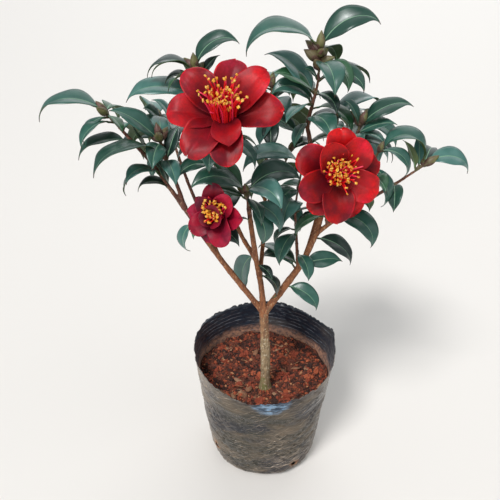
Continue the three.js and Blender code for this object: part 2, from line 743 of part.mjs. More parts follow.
// The soil fills the bag's inside, just clear of it, and lies level under the trunk.
function soilShape() {
  const inset = BAG_WALL + GAP;
  const levels = BAG_LEVELS.filter((height) => height > inset);
  const rings = [
    bagRing(inset, inset + FLOOR_ROUND),
    ...levels.map((height) => bagRing(height, inset)),
  ];
  for (const topInset of SOIL_INSETS) {
    rings.push(bagRing(SOIL_TOP, topInset).map((p) => {
      const off = Math.hypot(p.x - FOOT[0], p.y - FOOT[1]);
      const rough = Math.sin(p.x / 9) * Math.cos(p.y / 7) + Math.sin(p.x / 5 + p.y / 6);
      const share = Math.min(1, Math.max(0, (off - SOIL_LEVEL_RADIUS) / SOIL_SLOPE));
      return p.setZ(SOIL_TOP + SOIL_MOUND * share * rough);
    }));
  }
  rings.push([new THREE.Vector3(0, 0, SOIL_TOP)]);
  return loft(rings);
}

// Solids joined into one, with any pocket that they seal in between them filled.
function joined(parts) {
  const skins = wasm.Manifold.union(parts).decompose();
  return wasm.Manifold.union(skins.filter((skin) => skin.volume() > 0));
}

function node(name, shape, look) {
  const { vertProperties, triVerts } = shape.getMesh();
  const geometry = new THREE.BufferGeometry();
  geometry.setAttribute("position", new THREE.BufferAttribute(new Float32Array(vertProperties), 3));
  geometry.setIndex(new THREE.BufferAttribute(new Uint32Array(triVerts), 1));
  geometry.computeVertexNormals();
  const mesh = new THREE.Mesh(geometry, new THREE.MeshStandardMaterial(COLOURS[look]));
  mesh.name = name;
  return mesh;
}

function lookOf(name) {
  if (name in LIMBS) return "bark";
  return MASSES[name].bloom ? "bloom" : "leaf";
}

// The limbs and stems come first, then the leaves whose places are known, then the others.
const limbs = growLimbs();
const stems = {};
Object.entries(limbs).forEach(([name, limb]) => addLimb(name, limb));
for (const [name, spec] of Object.entries(MASSES)) {
  stems[name] = massStem(spec, limbs[spec.on]);
  addStem(name, spec, stems[name]);
  addBuds(name, spec, stems[name]);
  if (spec.bloom) addBloom(name, spec.bloom);
}
for (const [name, rows] of Object.entries(BOUGH_LEAVES)) {
  rows.forEach((row) => placeLeaf(name, shownLeaf(limbs[name], row)));
}
for (const [name, spec] of Object.entries(MASSES)) {
  spec.shown.forEach((row) => placeLeaf(name, shownLeaf(stems[name], row)));
}
for (const [name, spec] of Object.entries(MASSES)) {
  addRuleLeaves(name, spec, stems[name]);
}

const plant = new THREE.Group();
plant.add(node("grow_bag", bagShape(), "bag"), node("soil", soilShape(), "soil"));
for (const [name, parts] of Object.entries(shapes)) {
  plant.add(node(name, joined(parts), lookOf(name)));
}

export default plant;
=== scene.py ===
import math
from collections import namedtuple
from itertools import combinations

import bpy
import numpy as np
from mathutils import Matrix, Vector, noise
from mathutils.kdtree import KDTree


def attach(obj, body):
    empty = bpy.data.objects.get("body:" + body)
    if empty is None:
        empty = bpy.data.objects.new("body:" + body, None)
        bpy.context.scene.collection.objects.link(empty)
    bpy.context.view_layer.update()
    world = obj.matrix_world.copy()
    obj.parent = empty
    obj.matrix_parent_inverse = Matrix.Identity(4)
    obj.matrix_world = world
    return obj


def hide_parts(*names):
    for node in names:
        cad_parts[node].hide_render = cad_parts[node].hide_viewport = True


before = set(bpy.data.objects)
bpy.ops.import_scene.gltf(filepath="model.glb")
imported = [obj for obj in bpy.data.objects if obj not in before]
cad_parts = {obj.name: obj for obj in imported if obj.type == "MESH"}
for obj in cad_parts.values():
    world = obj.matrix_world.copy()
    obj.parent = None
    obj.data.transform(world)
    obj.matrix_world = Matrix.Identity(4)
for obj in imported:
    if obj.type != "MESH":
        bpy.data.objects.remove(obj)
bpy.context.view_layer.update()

MM = 0.001
BODY = "root"
PHASES = 6.28  # the range of a random phase or turn, about once round

# The bag and its soil, as in the model
BAG_HEIGHT = 146
BAG_RIM_RADIUS = 80
BAG_FOOT_RADIUS = 63
BAG_FLARE = 0.85
BAG_TUCK = 0.12
BAG_TUCK_HEIGHT = 12
BAG_OVAL = 0.012
BAG_WOBBLE = 0.006
SOIL_TOP = 109
RIM_TILT = 10
RIM_SAG = 3
RIM_WAVE = 1.3
SOIL_MOUND = 1.5
SOIL_LEVEL_RADIUS = 26
SOIL_SLOPE = 14
HOLE_RADIUS = 3.6
HOLES = [[-57, 16], [63, 24], [211, 24]]  # each at a bearing and a height

# The growth rule, as in the model
STEM_RADII = [1.5, 1.1]
STEM_STRAIGHT = 6
STEM_SWAY = 0.7
DIVERGENCE = 137.5
TRIES = 6
TURN_ON = 29
LEAF_CLEARANCE = 6.5
LIMB_CLEARANCE = 5
STEM_CLEARANCE = 3
BLOOM_CLEARANCE = 0.92
BLOOM_SPOTS = [0.2, 0.6]
BLOOM_STEM_END = -7
BLOOM_STEM_BOW = -14
BLOOM_STEM_MIDDLE = 0.55
FOOT = [1, -28, SOIL_TOP]
ROOT_FLARE = 1.9
FLARE_HEIGHT = 4.5
LEAF_STEPS = 24
PETIOLE_STEPS = 3
PETIOLE_HALF = 0.9
LEAF_HALF_SHARE = 0.2
LEAF_WIDEST = 0.42
TIP_CURL = 40
LEAF_PLACES = [0.97, 0.15]
HIGHEST_BY_BLOOM = 0.8
LEAST_CLIMB = 12
CLIMB_UP_STEM = 40
CLIMB_SPREAD = 8
LEAF_SIZES = [0.82, 1.16]
LEAF_BENDS = [60, 110]
LEAF_ROLLS = [-25, 25]
BUD_LENGTH = 12.5
BUD_RADIUS = 3.2
BUD_SPLAYS = [46, 70]
BUD_SIZES = [0.85, 1.2]
BUD_SPACING = 0.03
BUD_SUNK = 1.2
PETAL_STEPS = 20
PETAL_WIDEST = 0.6
PETAL_HALF_SHARE = 0.33
PETAL_ROOT_SHARE = 0.24
PETAL_CUP = 24
PETAL_BEND = 28
PETAL_DISH = 0.25
PETAL_AHEAD = 1 / 12
STAMENS_REACH = 0.62
STAMENS_RADIUS = 0.24

# Each limb's parent and its place along it, its radii at foot and tip, and points on its way
LIMBS = {
    "trunk": (None, 0, [5.7, 4.4], [FOOT, [0.5, -28.5, 160], [-1.5, -28, 211]]),
    "bough_left": ("trunk", 1, [3.1, 2.2], [[-29, -37, 257], [-52, -45, 298], [-73, -52, 339]]),
    "bough_left_outer": (
        "bough_left", 1, [1.9, 1.4], [[-84, -51, 356], [-97, -48, 376], [-119, -44, 402]],
    ),
    "bough_left_inner": ("bough_left", 1, [1.8, 1.5], [[-79, -50, 361], [-86, -47, 378]]),
    "bough_left_back": (
        "bough_left", 0.6, [1.9, 1.4], [[-58, -24, 310], [-76, 6, 340], [-88, 28, 364]],
    ),
    "bough_middle": (
        "trunk", 1, [3, 2.2], [[-5, -30, 246], [-10, -33, 276], [-15, -42, 318], [-17, -48, 338]],
    ),
    "bough_bloom": (
        "bough_middle", 0.52, [2.2, 1.6],
        [[-23, -24, 296], [-42, -14, 340], [-51, -12, 384], [-56, -20, 414]],
    ),
    "bough_back": ("bough_middle", 0.34, [2.2, 1.5], [[-2, 0, 292], [0, 28, 346], [3, 44, 386]]),
    "bough_right": (
        "trunk", 1, [3.9, 2.7], [[20, -22, 241], [37, -16, 266], [49, -12, 296], [54, -10, 318]],
    ),
    "bough_leader": ("bough_right", 1, [2.6, 2.1], [[51, -1, 346], [42, 3, 374], [38, 3, 391]]),
    "bough_right_outer": (
        "bough_right", 0.8, [2.2, 1.6], [[66, -20, 314], [90, -24, 333], [111, -20, 345]],
    ),
    "bough_right_mid": ("bough_right", 1, [1.9, 1.5], [[66, -9, 342], [74, -8, 372]]),
    "bough_right_back": (
        "bough_right", 0.62, [2.1, 1.4], [[54, 14, 306], [70, 38, 340], [80, 52, 366]],
    ),
}
# A leaf that shows in the photo: its place along the limb, bearing, climb, length, bend and roll
BOUGH_LEAVES = {
    "bough_left": [[0.89, 199, -24, 36, 103, -25]],
    "bough_left_outer": [
        [0.62, 150, 66, 45, 18, 30], [0.9, 188, 19, 53, 62, -8], [0.55, 197, 8, 42, 88, -1],
        [0.43, 224, 60, 44, 108, -6], [0.25, 187, 58, 36, 109, -14], [0.29, 201, 86, 32, 38, -34],
    ],
    "bough_left_inner": [[0.62, 23, 62, 44, 106, 20]],
    "bough_bloom": [[0.25, 232, -5, 24, 64, 10]],
    "bough_middle": [
        [0.47, -40, 4, 24, 58, 10], [0.37, -11, 4, 40, 130, 10], [0.57, 141, -36, 58, 80, -75],
        [0.88, 212, 44, 16, 57, 10],
    ],
    "bough_right": [
        [0.3, -23, 10, 46, 75, 25], [0.52, 1, 21, 44, 24, 50], [0.77, -14, 6, 52, 72, 25],
        [0.97, 196, 27, 27, 68, 10], [0.5, 156, 51, 54, 109, -5], [0.46, 138, 52, 60, 78, 5],
    ],
    "bough_right_outer": [[0.3, -40, 50, 62, 135, 10]],
}
# A petal: its turn about the bloom, its share of the reach, and how far it is raised
Bloom = namedtuple("Bloom", "at facing reach opening petals")
BLOOMS = {
    "foliage_bloom_large": Bloom([-35, -76, 424], [-94, 39], 44.5, 11, [
        [0, 1.04, 0], [42, 1.04, 9], [80, 1, 0], [137, 1, 9], [183, 1, 0], [236, 1.04, 0],
        [277, 1.03, 0], [281, 0.8, 14],
    ]),
    "foliage_bloom_small": Bloom([-41, -72, 342], [-113, 15], 29.5, 25, [
        [96, 1.05, 0], [50, 1, 9], [4, 1.03, 0], [306, 1.12, 9], [260, 0.92, 0], [218, 1, 9],
        [180, 0.97, 0], [140, 0.9, 9], [70, 0.72, 34], [200, 0.7, 34], [330, 0.72, 34],
    ]),
    "foliage_bloom_right": Bloom([52, -68, 375], [-79, 9], 39, 11, [
        [86, 1.04, 0], [56, 1.02, 12], [17, 0.98, 0], [338, 1.02, 9], [297, 0.98, 0],
        [268, 1.04, 9], [233, 0.95, 0], [196, 0.98, 9], [146, 1.04, 0], [114, 0.98, 20],
    ]),
}
# Leaves counts those that follow the rule, and shown holds those that the photo shows
Mass = namedtuple("Mass", "on at through leaves leaf_length turn seed buds shown")
MASSES = {
    "foliage_left_tip": Mass("bough_left_outer", 1, [[-135, -38, 419]], 3, 42, 60, 3, 3, [
        [0.96, 183, 45, 68, 95, -14], [0.8, 211, 7, 37, 88, -9], [0.9, 310, -4, 28, 30, -20],
    ]),
    "foliage_left_inner": Mass("bough_left_inner", 1, [[-91, -45, 400]], 5, 46, 80, 5, 5, [
        [0.8, 194, 54, 50, 26, -40], [0.2, 222, 50, 79, 94, -3], [0.08, 24, 72, 34, 8, 30],
        [0.6, 100, 60, 44, 60, 10],
    ]),
    "foliage_left_back": Mass("bough_left_back", 1, [[-106, 48, 394]], 10, 56, 110, 21, 3, [
        [0.89, 246, 45, 36, 14, -75], [0.49, 201, 112, 45, 79, -32],
    ]),
    "foliage_top_left": Mass("bough_bloom", 1, [[-60, -30, 452]], 5, 46, 100, 12, 4, [
        [0.97, 182, 42, 48, 92, -15], [0.86, 197, 57, 46, 107, 5], [0.99, 2, 80, 49, 96, 35],
        [0.33, 193, 36, 68, 62, -28], [0.54, 200, 70, 36, 105, -13], [0.73, 11, 56, 28, 10, 30],
    ]),
    "foliage_bloom_large": Mass("bough_bloom", 0.8, [], 6, 46, 190, 17, 0, [
        [0.45, 330, 5, 46, 70, 10],
    ]),
    "foliage_bloom_small": Mass("bough_left", 0.82, [], 3, 40, 20, 31, 0, [
        [0.5, 60, 50, 44, 60, 20],
    ]),
    "foliage_centre": Mass("bough_middle", 1, [[-19, -54, 354]], 3, 42, 80, 41, 3, [
        [0.95, 160, 58, 54, 34, -1], [0.92, 205, 63, 62, 90, -18], [0.59, 194, 35, 34, 20, -9],
        [0.91, 16, 62, 62, 104, 35], [1, -50, 50, 54, 98, 20], [0.11, -46, -5, 46, 112, 0],
    ]),
    "foliage_centre_right": Mass(
        "bough_right", 0.48, [[30, -12, 290], [28, -8, 320], [33, -5, 362]], 5, 42, 100, 44, 1, [
            [1, 200, 54, 72, 97, -17], [0.63, -109, 54, 58, 108, -21], [0.39, 198, 30, 34, 126, 10],
            [0.8, -60, 20, 40, 70, 10],
        ]),
    "foliage_leader": Mass("bough_leader", 1, [[43, -2, 436], [43, -5, 464]], 6, 48, 60, 51, 8, [
        [1, 184, 54, 80, 110, -20], [0.99, -4, 72, 62, 90, 45], [0.39, 160, 74, 66, 60, -19],
        [0.83, -79, 23, 56, 86, 0], [0.65, 12, 44, 58, 88, 12], [0.34, 184, 76, 50, 118, -31],
        [0.36, 229, 15, 44, 52, 20], [0.16, -70, 38, 56, 90, 10], [0.49, -53, 22, 36, 90, 10],
        [0.49, 189, 50, 46, 42, -23], [0.66, 221, 50, 22, 30, -57], [0.14, 236, 0, 34, 70, 10],
    ]),
    "foliage_right_inner": Mass("bough_leader", 0.4, [[61, 5, 396]], 3, 42, 100, 58, 1, [
        [1, 21, 74, 65, 108, 10],
    ]),
    "foliage_right_mid": Mass("bough_right_mid", 1, [[83, -8, 402]], 4, 46, 80, 61, 2, [
        [0.86, -2, 59, 55, 62, 20], [0.69, -20, 40, 38, 34, 28], [0.9, 215, 69, 35, 30, -67],
        [0.54, -31, 50, 36, 110, 10],
    ]),
    "foliage_right_tip": Mass("bough_right_outer", 1, [[142, -20, 368]], 2, 38, 90, 71, 2, [
        [0.95, 184, 104, 66, 162, -22], [0.97, 4, 44, 54, 103, 25], [0.78, 171, 70, 32, 10, 30],
        [0.85, 94, 72, 34, 10, 10],
    ]),
    "foliage_right_low": Mass("bough_right_outer", 0.5, [[94, -38, 386]], 3, 42, 80, 75, 1, [
        [1, -16, 22, 42, 120, 10], [0.79, -40, -21, 46, 88, 10],
    ]),
    "foliage_bloom_right": Mass("bough_right_outer", 0.2, [], 4, 42, 120, 81, 0, []),
    "foliage_right_back": Mass("bough_right_back", 1, [[90, 66, 392]], 11, 56, 40, 91, 3, []),
    "foliage_back": Mass("bough_back", 1, [[6, 62, 424]], 10, 58, 90, 101, 4, [
        [0.35, 250, -30, 43, 8, 10], [0.29, 320, -14, 38, 8, 30], [0.2, 271, -3, 43, 68, 10],
    ]),
    "foliage_back_low": Mass("bough_back", 0.45, [[26, 56, 358]], 8, 52, 20, 111, 1, []),
}


# Small tools

def lerp(a, b, share):
    return a + (b - a) * share


def smooth(low, high, value):
    share = np.clip((value - low) / (high - low), 0, 1)
    return share * share * (3 - 2 * share)


def unit(vector):
    return vector / np.linalg.norm(vector)


def polar(radius, angle):
    return radius * math.cos(angle), radius * math.sin(angle)


def toward(bearing, climb):
    """The unit vector on a bearing, anticlockwise from +X, at a climb."""
    b, c = math.radians(bearing), math.radians(climb)
    return np.array([*polar(math.cos(c), b), math.sin(c)])


def square_to(way, hint):
    """Two directions square to a way and to each other."""
    u = unit(np.cross(way, hint))
    return u, np.cross(way, u)


def spoke(angle, u, v):
    """Where an angle points between two directions, in radians. It may be many angles."""
    angle = np.asarray(angle)[..., None]
    return np.cos(angle) * u + np.sin(angle) * v


def sampled(share, rows):
    """Rows of values taken at any share of their run."""
    rows = np.array(rows)
    steps = np.linspace(0, 1, len(rows))
    return np.stack([np.interp(share, steps, rows[:, k]) for k in range(3)], -1)


def noisy(x, y, z):
    return noise.noise(Vector((x, y, z)))


def bell(value):
    return np.exp(-np.square(value))


def all_round(count):
    """The angles of a ring of points, in radians."""
    return 2 * np.pi * np.arange(count) / count


def ridged(value, sharpness):
    return max(0.0, 1 - abs(value) * sharpness) ** 2


def draws(seed):
    """The model's repeatable draws from 0 to 1."""
    state = (seed * 2654435761) % 2**32
    while True:
        state = (state * 1664525 + 1013904223) % 2**32
        yield state / 2**32


# Meshes

def wall_faces(rows, sides):
    """The faces between closed rings of points."""
    number = np.arange(rows * sides).reshape(rows, sides)
    low, high = number[:-1], number[1:]
    return np.stack([low, np.roll(low, -1, 1), np.roll(high, -1, 1), high], -1).reshape(-1, 4)


def read(items, key):
    values = np.zeros(3 * len(items), np.float32)
    items.foreach_get(key, values)
    return values.reshape(-1, 3)


def write(items, key, values, kind=np.int32):
    items.foreach_set(key, np.ravel(values).astype(kind))


def placed(name, data):
    obj = bpy.data.objects.new(name, data)
    bpy.context.scene.collection.objects.link(obj)
    return obj


def modified(obj, kind, **settings):
    """Applies one modifier to the object's mesh."""
    modifier = obj.modifiers.new(kind, kind)
    for key, value in settings.items():
        setattr(modifier, key, value)
    graph = bpy.context.evaluated_depsgraph_get()
    mesh = bpy.data.meshes.new_from_object(obj.evaluated_get(graph))
    obj.modifiers.clear()
    obj.data = mesh


class Piece:
    """Vertices and faces, each face with its material's number, gathered for one object."""

    def __init__(self):
        self.points, self.faces, self.looks, self.count = [], [], [], 0

    def add(self, points, faces, look=0):
        points = np.asarray(points, float).reshape(-1, 3)
        self.points.append(points)
        self.faces.append(np.asarray(faces, int) + self.count)
        self.looks.append(np.broadcast_to(look, len(faces)))
        self.count += len(points)

    def loft(self, rings, look=0):
        """A closed shape over rings of points that run anticlockwise about its way."""
        rings = np.asarray(rings, float)
        rows, sides = rings.shape[:2]
        k = np.arange(sides // 2 - 1)
        cap = np.stack([k, k + 1, sides - 2 - k, sides - 1 - k], -1)
        faces = [wall_faces(rows, sides), cap[:, ::-1], cap + (rows - 1) * sides]
        if np.ndim(look):
            ends = [np.full(len(cap), look[0, 0]), np.full(len(cap), look[-1, 0])]
            look = np.concatenate([look.ravel(), *ends])
        self.add(rings, np.concatenate(faces), look)

    def build(self, name, materials, slot, replaced=(), flat=False):
        """Makes the object, puts it on the body and hides the model's nodes that it stands for."""
        mesh = bpy.data.meshes.new(name)
        points = np.concatenate(self.points) * MM
        sizes = np.concatenate([np.full(len(f), f.shape[1]) for f in self.faces])
        corners = np.concatenate([f.ravel() for f in self.faces])
        mesh.vertices.add(len(points))
        mesh.loops.add(len(corners))
        mesh.polygons.add(len(sizes))
        write(mesh.vertices, "co", points, np.float32)
        write(mesh.loops, "vertex_index", corners)
        write(mesh.polygons, "loop_start", np.concatenate([[0], np.cumsum(sizes)[:-1]]))
        write(mesh.polygons, "material_index", np.concatenate(self.looks))
        mesh.update(calc_edges=True)
        mesh.validate()
        write(mesh.polygons, "use_smooth", np.full(len(mesh.polygons), not flat), bool)
        for made in materials:
            mesh.materials.append(made)
        obj = placed(name, mesh)
        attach(obj, BODY)
        if replaced:
            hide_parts(*replaced)
        return obj


# The plant's growth

class Limb:
    """A tapering limb along a smooth path through points: a centripetal Catmull-Rom curve."""

    DIVISIONS = 200
    NUDGE = 1e-4

    def __init__(self, points, radii=(1, 1)):
        self.knots = np.array(points, float)
        self.radii = radii
        self.turns = np.linspace(0, 1, self.DIVISIONS + 1)
        spots = np.array([self.point(t) for t in self.turns])
        steps = np.linalg.norm(np.diff(spots, axis=0), axis=1)
        self.reached = np.concatenate([[0], np.cumsum(steps)])
        self.length = self.reached[-1]
        chord = self.knots[-1] - self.knots[0]
        sideways = abs(chord[0]) < abs(chord[1])
        self.across = np.array([1.0, 0, 0] if sideways else [0, 1.0, 0])

    def point(self, t):
        knots, last = self.knots, len(self.knots) - 1
        i = min(int(last * min(max(t, 0), 1)), last - 1)
        w = last * min(max(t, 0), 1) - i
        before = knots[i - 1] if i > 0 else 2 * knots[0] - knots[1]
        after = knots[i + 2] if i + 2 <= last else 2 * knots[last] - knots[last - 1]
        a, b = knots[i], knots[i + 1]
        gaps = [np.sum((p - q) ** 2) ** 0.25 for p, q in ((before, a), (a, b), (b, after))]
        leave = (a - before) / gaps[0] - (b - before) / (gaps[0] + gaps[1]) + (b - a) / gaps[1]
        arrive = (b - a) / gaps[1] - (after - a) / (gaps[1] + gaps[2]) + (after - b) / gaps[2]
        leave, arrive = leave * gaps[1], arrive * gaps[1]
        square = (-3 * a + 3 * b - 2 * leave - arrive) * w**2
        return a + leave * w + square + (2 * a - 2 * b + leave + arrive) * w**3

    def turn(self, share):
        return float(np.interp(min(max(share, 0), 1) * self.length, self.reached, self.turns))

    def at(self, share):
        return self.point(self.turn(share))

    def heading(self, share):
        t = self.turn(share)
        return unit(self.point(min(1, t + self.NUDGE)) - self.point(max(0, t - self.NUDGE)))

    def radius(self, share):
        return lerp(*self.radii, share)

    def ring(self, share, radius, sides):
        """A ring round the limb. The radius may be one for each side."""
        around = spoke(all_round(sides), *square_to(self.heading(share), -self.across))
        return self.at(share) + np.reshape(radius, (-1, 1)) * around


def add_rod(piece, points, shares, radius, look, sides=6):
    """A rod along a path through points, with a radius for each share of it."""
    path = Limb(points)
    piece.loft([path.ring(share, radius(share), sides) for share in shares], look)


def grow_limbs():
    grown = {}
    for name, (parent, share, radii, points) in LIMBS.items():
        foot = [grown[parent].at(share)] if parent else []
        grown[name] = Limb([*foot, *points], radii)
    return grown


def mass_stem(name, limbs):
    """A mass's stem, from its limb's tip or side."""
    mass = MASSES[name]
    limb = limbs[mass.on]
    root = limb.at(mass.at)
    points = [root]
    if mass.at == 1:
        points.append(root + STEM_STRAIGHT * limb.heading(1))
    if name in BLOOMS:
        axis = toward(*BLOOMS[name].facing)
        centre = np.array(BLOOMS[name].at, float)
        bowed = lerp(root, centre, BLOOM_STEM_MIDDLE) + BLOOM_STEM_BOW * axis
        points += [bowed, centre + BLOOM_STEM_END * axis]
    return Limb(points + mass.through, STEM_RADII)


Leaf = namedtuple("Leaf", "root bearing climb length bend roll")


def shown_leaf(limb, share, *rest):
    return Leaf(limb.at(share), *rest)


def midrib(leaf):
    """A leaf's midrib: its points from root to tip, and the way it heads at each."""
    points, headings = [leaf.root], [toward(leaf.bearing, leaf.climb)]
    for i in range(LEAF_STEPS):
        share = (i + 0.5) / LEAF_STEPS
        climb = leaf.climb - leaf.bend * share - TIP_CURL * share**6
        headings.append(toward(leaf.bearing, climb))
        points.append(points[-1] + headings[-1] * leaf.length / LEAF_STEPS)
    return points, headings


def leaf_spots(leaf):
    return np.array(midrib(leaf)[0][6::3])


class Crown:
    """The leaves of the whole plant, by the limb or mass that carries them."""

    def __init__(self, limbs, stems):
        self.leaves = {}
        self.spots, self.clearances = [], []
        for limb in limbs.values():
            self.keep_clear([limb.at(s) for s in np.arange(0.04, 1.001, 0.04)], LIMB_CLEARANCE)
        for name in MASSES:
            self.keep_clear([stems[name].at(s) for s in np.arange(0.1, 1.001, 0.1)], STEM_CLEARANCE)
            if name in BLOOMS:
                bloom = BLOOMS[name]
                axis = toward(*bloom.facing) * bloom.reach
                ahead = [bloom.at + out * axis for out in BLOOM_SPOTS]
                self.keep_clear(ahead, BLOOM_CLEARANCE * bloom.reach)
        carriers = {**limbs, **stems}
        shown = BOUGH_LEAVES | {name: mass.shown for name, mass in MASSES.items()}
        for name, rows in shown.items():
            for row in rows:
                self.place(name, shown_leaf(carriers[name], *row))
        for name, mass in MASSES.items():
            self.grow(name, mass, stems[name])

    def keep_clear(self, spots, clearance):
        self.spots += list(spots)
        self.clearances += [clearance] * len(spots)

    def place(self, name, leaf):
        self.leaves.setdefault(name, []).append(leaf)
        self.keep_clear(leaf_spots(leaf), LEAF_CLEARANCE)

    def is_clear(self, leaf):
        gaps = np.linalg.norm(leaf_spots(leaf)[:, None] - np.array(self.spots), axis=2)
        return bool(np.all(gaps > np.array(self.clearances)))

    def grow(self, name, mass, stem):
        """The leaves that follow the divergence, each turned on until it finds a free place."""
        draw = draws(mass.seed)
        lean = stem.at(1) - stem.at(0)
        sway = STEM_SWAY * lean * [1, 1, 0]
        highest = HIGHEST_BY_BLOOM if name in BLOOMS else LEAF_PLACES[0]
        for k in range(mass.leaves):
            share = lerp(highest, LEAF_PLACES[1], k / max(mass.leaves - 1, 1))
            climb = LEAST_CLIMB + CLIMB_UP_STEM * share * next(draw) + CLIMB_SPREAD * next(draw)
            length = mass.leaf_length * lerp(*LEAF_SIZES, next(draw))
            bend = lerp(*LEAF_BENDS, next(draw))
            roll = lerp(*LEAF_ROLLS, next(draw))
            for attempt in range(TRIES):
                turn = mass.turn + k * DIVERGENCE + attempt * TURN_ON
                out = toward(turn, 0) * np.linalg.norm(lean) + sway
                bearing = math.degrees(math.atan2(out[1], out[0]))
                leaf = shown_leaf(stem, share, bearing, climb, length, bend, roll)
                if self.is_clear(leaf):
                    self.place(name, leaf)
                    break


# Materials

class Look:
    """A material and its shader. A setting is a value or another node's output."""

    def __init__(self, name, colour, roughness, **constants):
        self.made = bpy.data.materials.new(name)
        self.made.use_nodes = True
        self.shader = self.made.node_tree.nodes["Principled BSDF"]
        self.shade(Base_Color=colour, Roughness=roughness, **constants)

    def give(self, socket, value):
        if isinstance(value, bpy.types.NodeSocket):
            self.made.node_tree.links.new(value, socket)
        else:
            socket.default_value = (*value, 1) if socket.type == "RGBA" else value

    def shade(self, **settings):
        for key, value in settings.items():
            self.give(self.shader.inputs[key.replace("_", " ")], value)

    def node(self, kind, **settings):
        """A new node, with its inputs and options set."""
        new = self.made.node_tree.nodes.new("ShaderNode" + kind)
        for key, value in settings.items():
            name = key.replace("_", " ")
            if name in new.inputs:
                self.give(new.inputs[name], value)
            else:
                setattr(new, key, value)
        return new

    def math(self, operation, *values, kind="Math"):
        new = self.node(kind, operation=operation)
        for socket, value in zip(new.inputs, values):
            self.give(socket, value)
        return new.outputs["Value"]

    def times(self, first, second):
        return self.math("MULTIPLY", first, second)

    def added(self, total, *others):
        for other in others:
            total = self.math("ADD", total, other)
        return total

    def place(self, stretch=(1, 1, 1), turn=(0, 0, 0)):
        """The object's own coordinates, stretched and turned."""
        place = self.node("TexCoord").outputs["Object"]
        return self.node("Mapping", Vector=place, Scale=stretch, Rotation=turn).outputs["Vector"]

    def apart_from(self, point, flatness=1.0):
        """The distance from a point in millimetres, with heights counted flatness times over."""
        x, y, z = point
        spot = (x * MM, y * MM, flatness * z * MM)
        return self.math("DISTANCE", self.place((1, 1, flatness)), spot, kind="VectorMath")

    def grain(self, scale, detail=4.0, stretch=(1, 1, 1), roughness=0.55, turn=(0, 0, 0)):
        """Noise from about 0 to 1. Scale is in features a metre."""
        return self.node("TexNoise", Vector=self.place(stretch, turn), Scale=scale, Detail=detail,
                         Roughness=roughness).outputs["Fac"]

    def spread(self, value, low, high, to_low=0.0, to_high=1.0):
        """The value stretched from one range to another, and held inside it."""
        return self.node("MapRange", Value=value, From_Min=low, From_Max=high, To_Min=to_low,
                         To_Max=to_high).outputs["Result"]

    def patches(self, low, high, *settings, to=(0.0, 1.0)):
        """Grain with these settings, stretched from a low and a high to another range."""
        return self.spread(self.grain(*settings), low, high, *to)

    def mixed(self, share, first, second):
        """A colour between two by a share from 0 to 1."""
        mixer = self.node("Mix", data_type="RGBA")
        for number, value in ((0, share), (6, first), (7, second)):
            self.give(mixer.inputs[number], value)
        return mixer.outputs[2]

    def mottled(self, first, second, *settings):
        """Two colours in patches with these settings."""
        return self.mixed(self.patches(*settings), first, second)

    def height_share(self, low, high, wander):
        """A share that rises from 0 to 1 between two heights, with a ragged border."""
        height = self.node("SeparateXYZ", Vector=self.place()).outputs["Z"]
        ragged = self.patches(0.2, 0.8, 60, 5.0, to=(-wander * MM, wander * MM))
        return self.spread(self.added(height, ragged), low * MM, high * MM)

    def bump(self, height, strength, distance):
        self.shade(Normal=self.node(
            "Bump", Height=height, Strength=strength, Distance=distance).outputs["Normal"])


def leaf_material(name, colour, other, roughness, **constants):
    """A leathery surface, faintly mottled between two greens and dimpled."""
    look = Look(name, colour, roughness, **constants)
    look.shade(
        Base_Color=look.mottled(colour, other, 0.35, 0.65, 90),
        Roughness=look.patches(0.3, 0.7, 260, to=(roughness - 0.06, roughness + 0.1)),
    )
    look.bump(look.grain(1400), 0.25, 0.0003)
    return look.made


def bark_material(name, colour, other, flecks):
    look = Look(name, colour, 0.8)
    streaked = look.mottled(colour, other, 0.38, 0.62, 420, 5.0, (1, 1, 0.3))
    look.shade(Base_Color=look.mottled(streaked, flecks, 0.57, 0.68, 620, 3.0, (1, 1, 0.6)))
    look.bump(look.grain(1600, 4.0, (1, 1, 0.3)), 0.6, 0.0004)
    return look.made


def petal_material(name, inner, outer, centre, reach):
    """Petals that pass from dark at the bloom's centre to a clearer red, in soft uneven patches:
    rosy patches of painted pink sheen, and dark purple clouds that are partly mottling and partly
    painted shade of folds.
    """
    look = Look(name, outer, 0.46, Sheen_Weight=0.2, Sheen_Roughness=0.3,
                Sheen_Tint=(1, 0.2, 0.36), Specular_IOR_Level=0.22)
    red, green, blue = outer
    out = look.spread(look.apart_from(centre), 0.25 * reach * MM, 0.9 * reach * MM)
    # Rosy magenta patches are painted pink sheen.
    rosy_sheen = look.patches(0.46, 0.68, 38, 3.0, to=(0.0, 0.6))
    clear = look.mixed(rosy_sheen, outer, (0.9 * red, green + 0.012, blue + 0.05))
    # Dark purple clouds: partly mottling, partly painted shade in the petals' folds.
    clouds_and_fold_shade = look.patches(0.42, 0.64, 62, 4.0, to=(0.0, 0.8))
    dark = (0.2 * red, green, 0.3 * blue + 0.008)
    clouded = look.mixed(clouds_and_fold_shade, look.mixed(out, inner, clear), dark)
    veins = look.patches(0.35, 0.75, 560, 3.0, to=(0.0, 0.5))
    look.shade(Base_Color=look.mixed(veins, clouded, (0.3 * red, green, 0.6 * blue)))
    look.bump(look.grain(900), 0.25, 0.0003)
    return look.made


def soil_material(name, colour, other):
    look = Look(name, colour, SOIL_ROUGHNESS)
    look.shade(Base_Color=look.mottled(colour, other, 0.35, 0.65, 700))
    look.bump(look.grain(1500), 0.8, 0.0005)
    return look.made


def bed_material(red, dark):
    """Soil that is darker in its hollows, as painted shade."""
    look = Look("soil", red, SOIL_ROUGHNESS)
    earth = look.mottled(dark, red, 0.35, 0.65, 620, 5.0)
    # Painted shade: the low parts of the bed take the dark colour.
    raised = look.height_share(SOIL_TOP - 1.6, SOIL_TOP + 1.0, 0.6)
    look.shade(Base_Color=look.mixed(raised, dark, earth))
    look.bump(look.grain(1300), 0.8, 0.0006)
    return look.made


